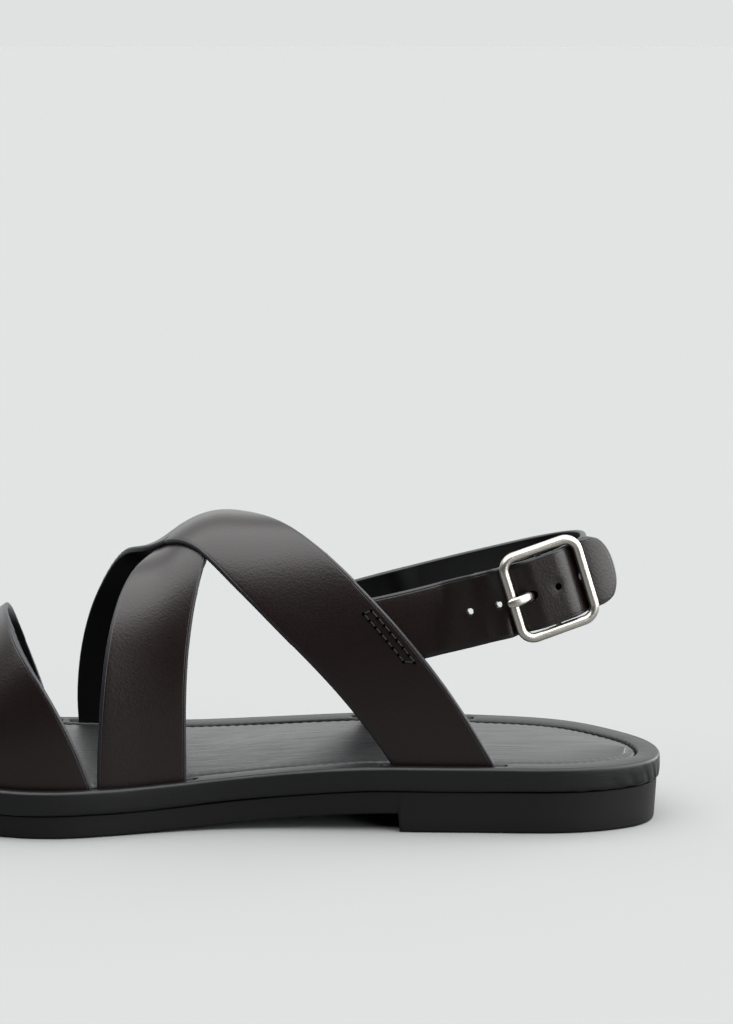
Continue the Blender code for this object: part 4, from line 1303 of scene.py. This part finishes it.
def ankle_loop(tip_straight, samples=801):
    """The ankle straps' middle line, from the inner joint round the heel to the outer joint.

    In plan it is the rear half of a superellipse, and ahead of it each side draws in along a parabola to its
    joint. Both sides rise to the rear, and one passes into the other round the heel. The line is straight
    ahead of the buckle's middle bar. Behind the bar it either carries straight on, for the ankle strap's
    tip, or bends away round the heel. The answer holds the buckle's length along the line, then the
    lengths, points, outward normals and upward directions.
    """
    sweep = np.linspace(-math.pi / 2, math.pi / 2, samples)
    power = 2 / LOOP_ROUNDNESS
    x = LOOP_WIDEST - (LOOP_WIDEST - LOOP_REAR) * np.cos(sweep) ** power
    y = LOOP_HALF_WIDTH * np.sign(sweep) * np.abs(np.sin(sweep)) ** power
    ahead = np.linspace(0.0, 1.0, 30)[1:]
    inner_x = LOOP_WIDEST + (INNER_JOINT + JOINT_TUCK - LOOP_WIDEST) * ahead[::-1]
    outer_x = LOOP_WIDEST + (OUTER_JOINT + JOINT_TUCK - LOOP_WIDEST) * ahead
    inner_y = LOOP_DRAW_IN * ((inner_x - LOOP_WIDEST) / (INNER_JOINT - LOOP_WIDEST)) ** 2 - LOOP_HALF_WIDTH
    outer_y = LOOP_HALF_WIDTH - LOOP_DRAW_IN * ((outer_x - LOOP_WIDEST) / (OUTER_JOINT - LOOP_WIDEST)) ** 2
    plan = np.column_stack([np.concatenate([inner_x, x, outer_x]), np.concatenate([inner_y, y, outer_y])])
    length = way(plan)
    even = np.linspace(0.0, length[-1], samples)
    x, y = read_off(even, length, plan).T

    buckle = even[y > 0][np.argmin(np.abs(x[y > 0] - BUCKLE_PLACE))]
    inner = INNER_JOINT_HEIGHT + math.tan(INNER_TILT) * (INNER_JOINT - x)
    outer = OUTER_JOINT_HEIGHT + math.tan(OUTER_TILT) * (OUTER_JOINT - x)
    centre = np.column_stack([x, y, inner + (outer - inner) * smoothstep((y / LOOP_HALF_WIDTH + 1) / 2)])
    run = even - buckle
    at_bar = np.argmin(np.abs(run))
    tangent = unit(np.gradient(centre, even, axis=0)[at_bar])
    reach = BUCKLE_LENGTH * 3 / 4
    ahead = smoothstep((reach - run) / (reach - BUCKLE_LENGTH / 2))
    behind = 1.0 if tip_straight else smoothstep((reach + run) / reach)
    straight = np.where(run > 0, ahead, behind)[:, None]
    centre = centre * (1 - straight) + (centre[at_bar] + run[:, None] * tangent) * straight
    clear = smoothstep((run - BUCKLE_LENGTH / 2) / (BUCKLE_LENGTH / 3))[:, None]
    centre = centre * (1 - clear) + softened(centre, LOOP_SOFTENED) * clear
    length = way(centre)
    along = unit(np.gradient(centre, axis=0))
    straight_up = np.array([0.0, 0.0, 1.0])
    level_normal = unit(np.cross(straight_up, along))
    normal = square_to(level_normal * math.cos(LOOP_LEAN) + straight_up * math.sin(LOOP_LEAN), along)
    upward = np.cross(along, normal)
    upward *= np.sign(upward[:, 2:])
    return length[at_bar], length, centre, normal, upward


def on_loop(loop, run, aside=0.0, up=0.0):
    """Points at run along the loop from the buckle's middle, moved outwards by aside and upwards by up."""
    buckle, length, *directions = loop
    centre, normal, upward = (read_off(buckle + run, length, vectors) for vectors in directions)
    return centre + normal * np.asarray(aside)[..., None] + upward * np.asarray(up)[..., None]


def seat_inside(grid, outer):
    """The strap's front end moved sideways to lie against the inside of the strap that holds it."""
    joint = OUTER_JOINT if outer else INNER_JOINT
    weight = smoothstep((grid[..., 0] - joint + SEAT_LENGTH) / SEAT_BLEND) * ((grid[..., 1] > 0) == outer)
    x, z = grid[..., 0], grid[..., 2]
    slope = (last_side(x, z + GAP, outer) - last_side(x, z - GAP, outer)) / (2 * GAP)
    inwards = (STRAP_THICKNESS / 2 + JOINT_GAP) * np.sqrt(1 + slope**2)
    seated = last_side(x, z, outer) - (inwards if outer else -inwards)
    moved = grid.copy()
    aside = weight * (seated - grid[..., 1])
    moved[..., 1] += aside
    moved[..., 2] += SEAT_DROP * aside
    return moved


BUCKLE_PLANE = BUCKLE_WIRE / 2 + GAP + STRAP_THICKNESS / 2


def strap_hump(run):
    """The ankle strap's rise over the prong's eye on the middle bar."""
    eye = BAR_WIRE / 2 + GAP + PRONG_THICKNESS
    rise = BUCKLE_PLANE - BAR_DROP + eye + GAP + STRAP_THICKNESS / 2
    bar = BUCKLE_LENGTH / 2 - BUCKLE_WIRE
    return rise * smoothstep((bar + BAR_WIRE / 2 - np.abs(run)) / (bar * HUMP_SLOPE))


def strap_aside(run):
    """How far the ankle strap stands outwards: over the prong's eye, and curled in at its tip."""
    curl = TIP_CURL * np.clip((-run - BUCKLE_LENGTH / 2) / (TIP_LENGTH - BUCKLE_LENGTH / 2), 0.0, 1.0) ** 2
    window = np.linspace(-HUMP_SOFTENED, HUMP_SOFTENED, 9)
    return np.mean([strap_hump(run + w) for w in window], axis=0) - curl


def hole_places():
    """The round holes' places along the loop, spaced along the strap itself."""
    run = np.linspace(-TIP_LENGTH, 2.5 * BUCKLE_LENGTH, 2001)
    own = way(np.column_stack([run, strap_aside(run)]))
    prong_hole = np.interp(PRONG_HOLE_PLACE, run, own)
    return np.interp(prong_hole + HOLE_PITCH * np.array(HOLE_STEPS), own, run)


def tip_runs(places, rows):
    """Runs of the ankle strap's rows: each line along the strap starts at the rounded end of its tip."""
    end = TIP_ROUND * (1 - (1 - np.abs(places) ** TIP_SQUARENESS) ** (1 / TIP_SQUARENESS))
    from_tip = rows - rows[0]
    return rows + end[:, None] * (1 - smoothstep(from_tip / (TIP_ROUND * TIP_BLEND)))


def dimples(run, up, places):
    """The leather's dip round each hole: a bell as wide as the hole."""
    away = (run[..., None] - places) ** 2 + up[..., None] ** 2
    return DIMPLE_DEPTH * np.exp(-away / HOLE_DIAMETER**2).sum(axis=-1)


def cut_away(made, shape):
    """Take a closed shape out of a piece for good."""
    mesh = bpy.data.meshes.new("punches")
    shape.to_mesh(mesh)
    shape.free()
    mesh.transform(Matrix.Translation((HEEL_BACK, 0.0, 0.0)))
    cutter = bpy.data.objects.new("punches", mesh)
    bpy.context.scene.collection.objects.link(cutter)
    cut = made.modifiers.new("holes", "BOOLEAN")
    cut.object = cutter
    cut.solver = "EXACT"
    graph = bpy.context.evaluated_depsgraph_get()
    holed = bpy.data.meshes.new_from_object(made.evaluated_get(graph), depsgraph=graph)
    made.modifiers.clear()
    made.data = holed
    made.data.set_sharp_from_angle(angle=HOLE_SHARP_ANGLE)
    bpy.data.objects.remove(cutter)
    bpy.data.meshes.remove(mesh)


def loop_frame(loop, run, aside=0.0):
    """A local frame on the loop: x along the strap, y across it and z out of it."""
    step = 1e-5
    point = on_loop(loop, np.array(run), np.array(aside))
    along = unit(on_loop(loop, np.array(run + step)) - on_loop(loop, np.array(run - step)))
    out = on_loop(loop, np.array(run), np.array(1.0)) - on_loop(loop, np.array(run))
    out = unit(out - np.dot(out, along) * along)
    frame_axes = np.eye(4)
    frame_axes[:3, :3] = np.column_stack([along, np.cross(out, along), out])
    frame_axes[:3, 3] = point
    return frame_axes


class SANDAL_OT_ankle_strap(bpy.types.Operator):
    """Make the ankle strap with its shaped tip and punched holes"""

    bl_idname = "sandal.ankle_strap"
    bl_label = "Ankle strap"

    def execute(self, context):
        loop = ankle_loop(True)
        last_run = loop[1][-1] - loop[0]
        rows = -TIP_LENGTH + np.concatenate([
            TIP_ROWS, np.arange(EVEN_ROWS_START, EVEN_ROWS_REACH, EVEN_ROWS_STEP),
            np.linspace(EVEN_ROWS_REACH, TIP_LENGTH + last_run, WIDE_ROWS)])
        places = hole_places()
        half = ANKLE_STRAP_WIDTH / 2

        def surface(across):
            """The strap's middle face at the places across."""
            run = tip_runs(across, rows)
            up = across[:, None] * half + 0.0 * run
            aside = strap_aside(run) - dimples(run, up, np.append(places, PRONG_HOLE_PLACE))
            return seat_inside(on_loop(loop, run, aside, up), True)

        made = strap_shell(
            "ankle_band", surface, half, shared_strap_leather(context), "ankle_strap",
            low=-STRAP_THICKNESS / 2, round_start=STRAP_CORNER, faces_across=41)
        cut_away(made, strap_punches(loop, places))
        return {"FINISHED"}


def strap_punches(loop, places):
    """What is cut out of the ankle strap: a cylinder at each hole and the prong's slot with one round end."""
    shape = bmesh.new()
    radius = HOLE_DIAMETER / 2
    for place in places:
        bmesh.ops.create_cone(shape, cap_ends=True, segments=32, radius1=radius, radius2=radius,
                              depth=2 * PUNCH_REACH, matrix=Matrix(loop_frame(loop, place).tolist()))
    wide = (PRONG_WIDTH + GAP) / 2
    end = PRONG_SLOT_LENGTH / 2
    turn = np.linspace(math.pi / 2, 3 * math.pi / 2, 17)
    round_end = np.column_stack([wide - end + wide * np.cos(turn), wide * np.sin(turn)])
    outline = np.vstack([[[end, -wide], [end, wide]], round_end])
    axes = loop_frame(loop, PRONG_HOLE_PLACE)
    low, high = ([shape.verts.new(placed(np.append(corner, depth), axes)) for corner in outline]
                 for depth in (-PUNCH_REACH, PUNCH_REACH))
    shape.faces.new(low[::-1])
    shape.faces.new(high)
    for i in range(len(outline)):
        shape.faces.new((low[i - 1], low[i], high[i], high[i - 1]))
    return shape


class SANDAL_OT_sling(bpy.types.Operator):
    """Make the strap round the heel, its end skived and folded round the buckle's middle bar"""

    bl_idname = "sandal.sling"
    bl_label = "Sling"

    def execute(self, context):
        loop = ankle_loop(False)
        fold = BAR_WIRE / 2 + GAP + FOLD_THICKNESS / 2
        bar_aside = BUCKLE_PLANE - BAR_DROP
        run = np.linspace(-loop[0], 0.0, 300)
        near = smoothstep((run + FOLD_APPROACH) / FOLD_APPROACH)
        aside = -(STRAP_THICKNESS + 2 * GAP) * (1 - near) + (bar_aside - fold) * near
        turn = np.linspace(-math.pi / 2, math.pi / 2, 17)[1:]
        back = np.linspace(0.0, 1.0, 7)[1:]
        run = np.concatenate([run, fold * np.cos(turn), -FOLD_RETURN * back])
        aside = np.concatenate([aside, bar_aside + fold * np.sin(turn), bar_aside + fold + 0.0 * back])
        near = np.concatenate([near, np.ones(len(turn) + len(back))])
        half = (HEEL_STRAP_WIDTH + (FOLD_WIDTH - HEEL_STRAP_WIDTH) * near) / 2

        def surface(across):
            """The strap's middle face at the places across."""
            up = across[:, None] * half
            return seat_inside(on_loop(loop, run + 0.0 * up, aside, up), False)

        thinning = 1 - near * (1 - FOLD_THICKNESS / STRAP_THICKNESS)
        strap_shell("sling", surface, HEEL_STRAP_WIDTH / 2, shared_strap_leather(context), "heel_strap",
                    low=-STRAP_THICKNESS / 2, thinning=thinning, faces_across=21)
        return {"FINISHED"}


def wire_mesh(path, sides, radius, section=18, closed=True):
    """A round wire: circles round the path, each square to it, with flat ends where it is open."""
    if closed:
        along = unit(np.roll(path, -1, axis=0) - np.roll(path, 1, axis=0))
    else:
        along = unit(np.gradient(path, axis=0))
    across = unit(np.cross(along, sides))
    upright = np.cross(across, along)
    angle = np.linspace(0.0, 2 * math.pi, section, endpoint=False)[None, :, None]
    points = path[:, None] + radius * (across[:, None] * np.cos(angle) + upright[:, None] * np.sin(angle))
    faces = grid_faces(len(path), section, wrap_rows=closed, wrap_columns=True)
    if not closed:
        last = (len(path) - 1) * section
        faces += [list(range(section)), list(range(last, last + section))[::-1]]
    return points.reshape(-1, 3), faces


def placed(points, axes):
    """Points of a local frame in the part's own one."""
    return points @ axes[:3, :3].T + axes[:3, 3]


def prong_surface(half_length, axes):
    """The prong's middle face: its eye round the bar, its climb through the strap, its rest on the frame.

    The line is an arc and straight stretches, with its corners rounded off over a window. Across it, the nose
    draws back along a circle towards both sides.
    """
    eye = BAR_WIRE / 2 + GAP + PRONG_THICKNESS / 2
    over_bar = BUCKLE_WIRE / 2 + GAP + PRONG_THICKNESS / 2
    top = eye - BAR_DROP
    turn = np.linspace(PRONG_EYE_OPENING, math.pi / 2, 25)
    place, climb = np.array(PRONG_CLIMB).T
    run = np.concatenate([eye * np.cos(turn), PRONG_HOLE_PLACE + PRONG_SLOT_LENGTH * place,
                          [half_length, half_length + PRONG_OVERHANG]])
    out = np.concatenate([eye * np.sin(turn) - BAR_DROP, top + (over_bar - top) * climb,
                          [over_bar, over_bar - PRONG_NOSE_DROP]])
    line = np.column_stack([run, out])
    length = way(line)
    end = length[-1]
    half = PRONG_WIDTH / 2
    nose_length, draw_length = half * 1.5, half * 2.5
    nose_rows = end - nose_length * np.cos(np.linspace(0.0, math.pi / 2, 16)[1:])
    rows = np.concatenate([np.linspace(0.0, end - nose_length, 90), nose_rows])
    window = np.linspace(-PRONG_BEND, PRONG_BEND, 15)

    def surface(across):
        """The face's points at the places across."""
        nose = half * (1 - np.sqrt(1 - across**2)) * PRONG_NOSE_ROUND
        at = rows - nose[:, None] * smoothstep((rows - end) / draw_length + 1)
        x, z = np.moveaxis(np.mean([read_off(at + w, length, line) for w in window], axis=0), -1, 0)
        x = x + np.maximum(at - end + PRONG_BEND, 0.0) / 2
        return placed(np.stack([x, across[:, None] * half + 0.0 * x, z], axis=-1), axes)

    return surface


class SANDAL_OT_buckle(bpy.types.Operator):
    """Make the buckle's frame with its sunken middle bar, and its prong"""

    bl_idname = "sandal.buckle"
    bl_label = "Buckle"

    def execute(self, context):
        loop = ankle_loop(True)
        axes = loop_frame(loop, 0.0, BUCKLE_PLANE)
        nickel = satin_nickel(context.scene.sandal_looks)
        half_length = (BUCKLE_LENGTH - BUCKLE_WIRE) / 2
        half_height = (ANKLE_STRAP_WIDTH + BUCKLE_WIRE) / 2 + BUCKLE_CLEARANCE
        path = []
        for quarter, (side_x, side_y) in enumerate(((1, 1), (-1, 1), (-1, -1), (1, -1))):
            turn = np.radians(np.linspace(0.0, 90.0, 15) + 90.0 * quarter)
            path.append(np.column_stack([
                side_x * (half_length - BUCKLE_CORNER) + BUCKLE_CORNER * np.cos(turn),
                side_y * (half_height - BUCKLE_CORNER) + BUCKLE_CORNER * np.sin(turn), 0.0 * turn]))
        path = np.concatenate(path)
        points, faces = wire_mesh(path, (0.0, 0.0, 1.0), BUCKLE_WIRE / 2, 28)
        new_object("buckle_frame", placed(points, axes), faces, nickel, "buckle")

        reach = np.linspace(-1.0, 1.0, 41)
        fall = smoothstep((half_height - np.abs(reach) * half_height) / (half_height - FOLD_WIDTH / 2 - GAP))
        path = np.column_stack([0.0 * reach, half_height * reach, -BAR_DROP * fall])
        points, faces = wire_mesh(path, (1.0, 0.0, 0.0), BAR_WIRE / 2, 16, closed=False)
        new_object("buckle_bar", placed(points, axes), faces, nickel, "buckle")

        strap_shell("prong_tongue", prong_surface(half_length, axes), PRONG_WIDTH / 2, nickel, "prong",
                    thickness=PRONG_THICKNESS, low=-PRONG_THICKNESS / 2, corner=PRONG_CORNER,
                    round_end=PRONG_CORNER, faces_across=13)
        return {"FINISHED"}


# The photo's camera, as worked out from the sole's edges: where it stands, what it looks at and its view
CAMERA_PLACE = (-0.0810, 0.8644, 0.2680)
CAMERA_TARGET = (-0.0424, 0.0, 0.1050)
CAMERA_LENS = 88.95

# The floor: half its width, its colour, where it goes dark in front, out of the picture, and how dark, as
# painted shade
PAPER_HALF = 60.0
PAPER_COLOUR = (0.141, 0.1430, 0.1425)
PAPER_FRONT = (0.40, 0.75)
PAPER_FRONT_SHADE = 0.04

# The overhead light: where it starts at the camera's side and ends at the back, as angles from the camera's
# horizon over the top, and where it fades along the sandal, as shares of a sight line's length
KEY_FRONT = (math.radians(38.0), math.radians(58.0))
KEY_BACK = (math.radians(94.0), math.radians(130.0))
KEY_ENDS = (0.60, 0.92)

# Where the backdrop fades towards the camera and brightens above the floor, and where the light at the heel
# starts along the sandal and ends upwards, all as shares of a sight line's length
BACKDROP_SIDE = (-0.45, 0.10)
BACKDROP_RISE = (0.03, 0.16)
HEEL_LIGHT_SIDE = (0.52, 0.68)
HEEL_LIGHT_TOP = (0.55, 0.90)
ROOM_TINT = (0.985, 1.0, 0.995)


def sky(looks):
    """The studio: a bright backdrop, a soft light overhead, one at the heel, dark round the camera."""
    world = bpy.data.worlds.new("studio")
    world.use_nodes = True
    nodes = Nodes(world.node_tree)
    place = nodes.node("ShaderNodeTexCoord").outputs["Generated"]
    axes = nodes.node("ShaderNodeSeparateXYZ", None, {"Vector": place}).outputs
    x, y, z = (Value(nodes, axes[name]) for name in "XYZ")
    over = nodes.math("ARCTAN2", z, y)
    rise = looks.horizon_light + z.above(*BACKDROP_RISE) * looks.backdrop_light
    backdrop = (1 - y.above(*BACKDROP_SIDE)) * rise
    within = 1 - nodes.math("ABSOLUTE", x).above(*KEY_ENDS)
    overhead = over.above(*KEY_FRONT) * (1 - over.above(*KEY_BACK)) * within
    heel_side = (0 - x).above(*HEEL_LIGHT_SIDE) * (1 - z.above(*HEEL_LIGHT_TOP))
    light = backdrop + overhead * looks.overhead_light + heel_side * looks.heel_light
    background = nodes.tree.nodes["Background"].inputs
    background["Color"].default_value = shade(ROOM_TINT)
    nodes.feed(background["Strength"], light + looks.camera_side_light)
    return world


class SANDAL_OT_stage(bpy.types.Operator):
    """Make the pale floor, the soft light and the camera"""

    bl_idname = "sandal.stage"
    bl_label = "Stage"

    def execute(self, context):
        scene = context.scene
        floor = bpy.data.meshes.new("floor")
        corners = [(x * PAPER_HALF, y * PAPER_HALF, 0.0) for x, y in ((-1, -1), (1, -1), (1, 1), (-1, 1))]
        floor.from_pydata(corners, [], [(0, 1, 2, 3)])
        paper = Finish("paper", Roughness=0.9, Specular_IOR_Level=0.0)
        # Painted shade: the floor darkens towards the camera, out of the picture, standing in for the dark
        # room there
        front = paper.along((0.0, 1.0, 0.0)).above(*PAPER_FRONT)
        paper.colour(paper.mottled(front, PAPER_COLOUR, 1.0, PAPER_FRONT_SHADE))
        floor.materials.append(paper.material)
        sheet = bpy.data.objects.new("floor", floor)
        scene.collection.objects.link(sheet)
        scene.world = sky(scene.sandal_looks)
        scene.view_settings.view_transform = "Standard"

        camera = bpy.data.cameras.new("photo_camera")
        camera.lens = CAMERA_LENS
        camera.clip_start = 0.05
        holder = bpy.data.objects.new("photo_camera", camera)
        scene.collection.objects.link(holder)
        holder.location = CAMERA_PLACE
        look = Vector(CAMERA_TARGET) - Vector(CAMERA_PLACE)
        holder.rotation_euler = look.to_track_quat("-Z", "Y").to_euler()
        scene.camera = holder
        return {"FINISHED"}


class SANDAL_PT_panel(bpy.types.Panel):
    """The sandal's pieces and looks in the 3D view's sidebar"""

    bl_label = "Sandal"
    bl_idname = "SANDAL_PT_panel"
    bl_space_type = "VIEW_3D"
    bl_region_type = "UI"
    bl_category = "Sandal"

    def draw(self, context):
        for operator in OPERATORS:
            self.layout.operator(operator.bl_idname)
        for group in (context.scene.sandal_shape, context.scene.sandal_looks):
            for name in group.__annotations__:
                self.layout.prop(group, name)


OPERATORS = (SANDAL_OT_stage, SANDAL_OT_footbed, SANDAL_OT_sock, SANDAL_OT_sole, SANDAL_OT_cross_straps,
             SANDAL_OT_joint_stitches, SANDAL_OT_ankle_strap, SANDAL_OT_sling, SANDAL_OT_buckle)
CLASSES = (SandalLooks, SandalShape, *OPERATORS, SANDAL_PT_panel)


def register():
    """Add the panel, the operators and the scene's two groups of values."""
    for made in CLASSES:
        bpy.utils.register_class(made)
    bpy.types.Scene.sandal_looks = PointerProperty(type=SandalLooks)
    bpy.types.Scene.sandal_shape = PointerProperty(type=SandalShape)


def unregister():
    """Take them away again."""
    del bpy.types.Scene.sandal_shape
    del bpy.types.Scene.sandal_looks
    for made in reversed(CLASSES):
        bpy.utils.unregister_class(made)


def main():
    """Make the stage and every piece."""
    register()
    bpy.ops.sandal.stage()
    bpy.ops.sandal.footbed()
    bpy.ops.sandal.sock()
    bpy.ops.sandal.sole()
    bpy.ops.sandal.cross_straps()
    bpy.ops.sandal.joint_stitches()
    bpy.ops.sandal.ankle_strap()
    bpy.ops.sandal.sling()
    bpy.ops.sandal.buckle()


if __name__ == "__main__":
    main()
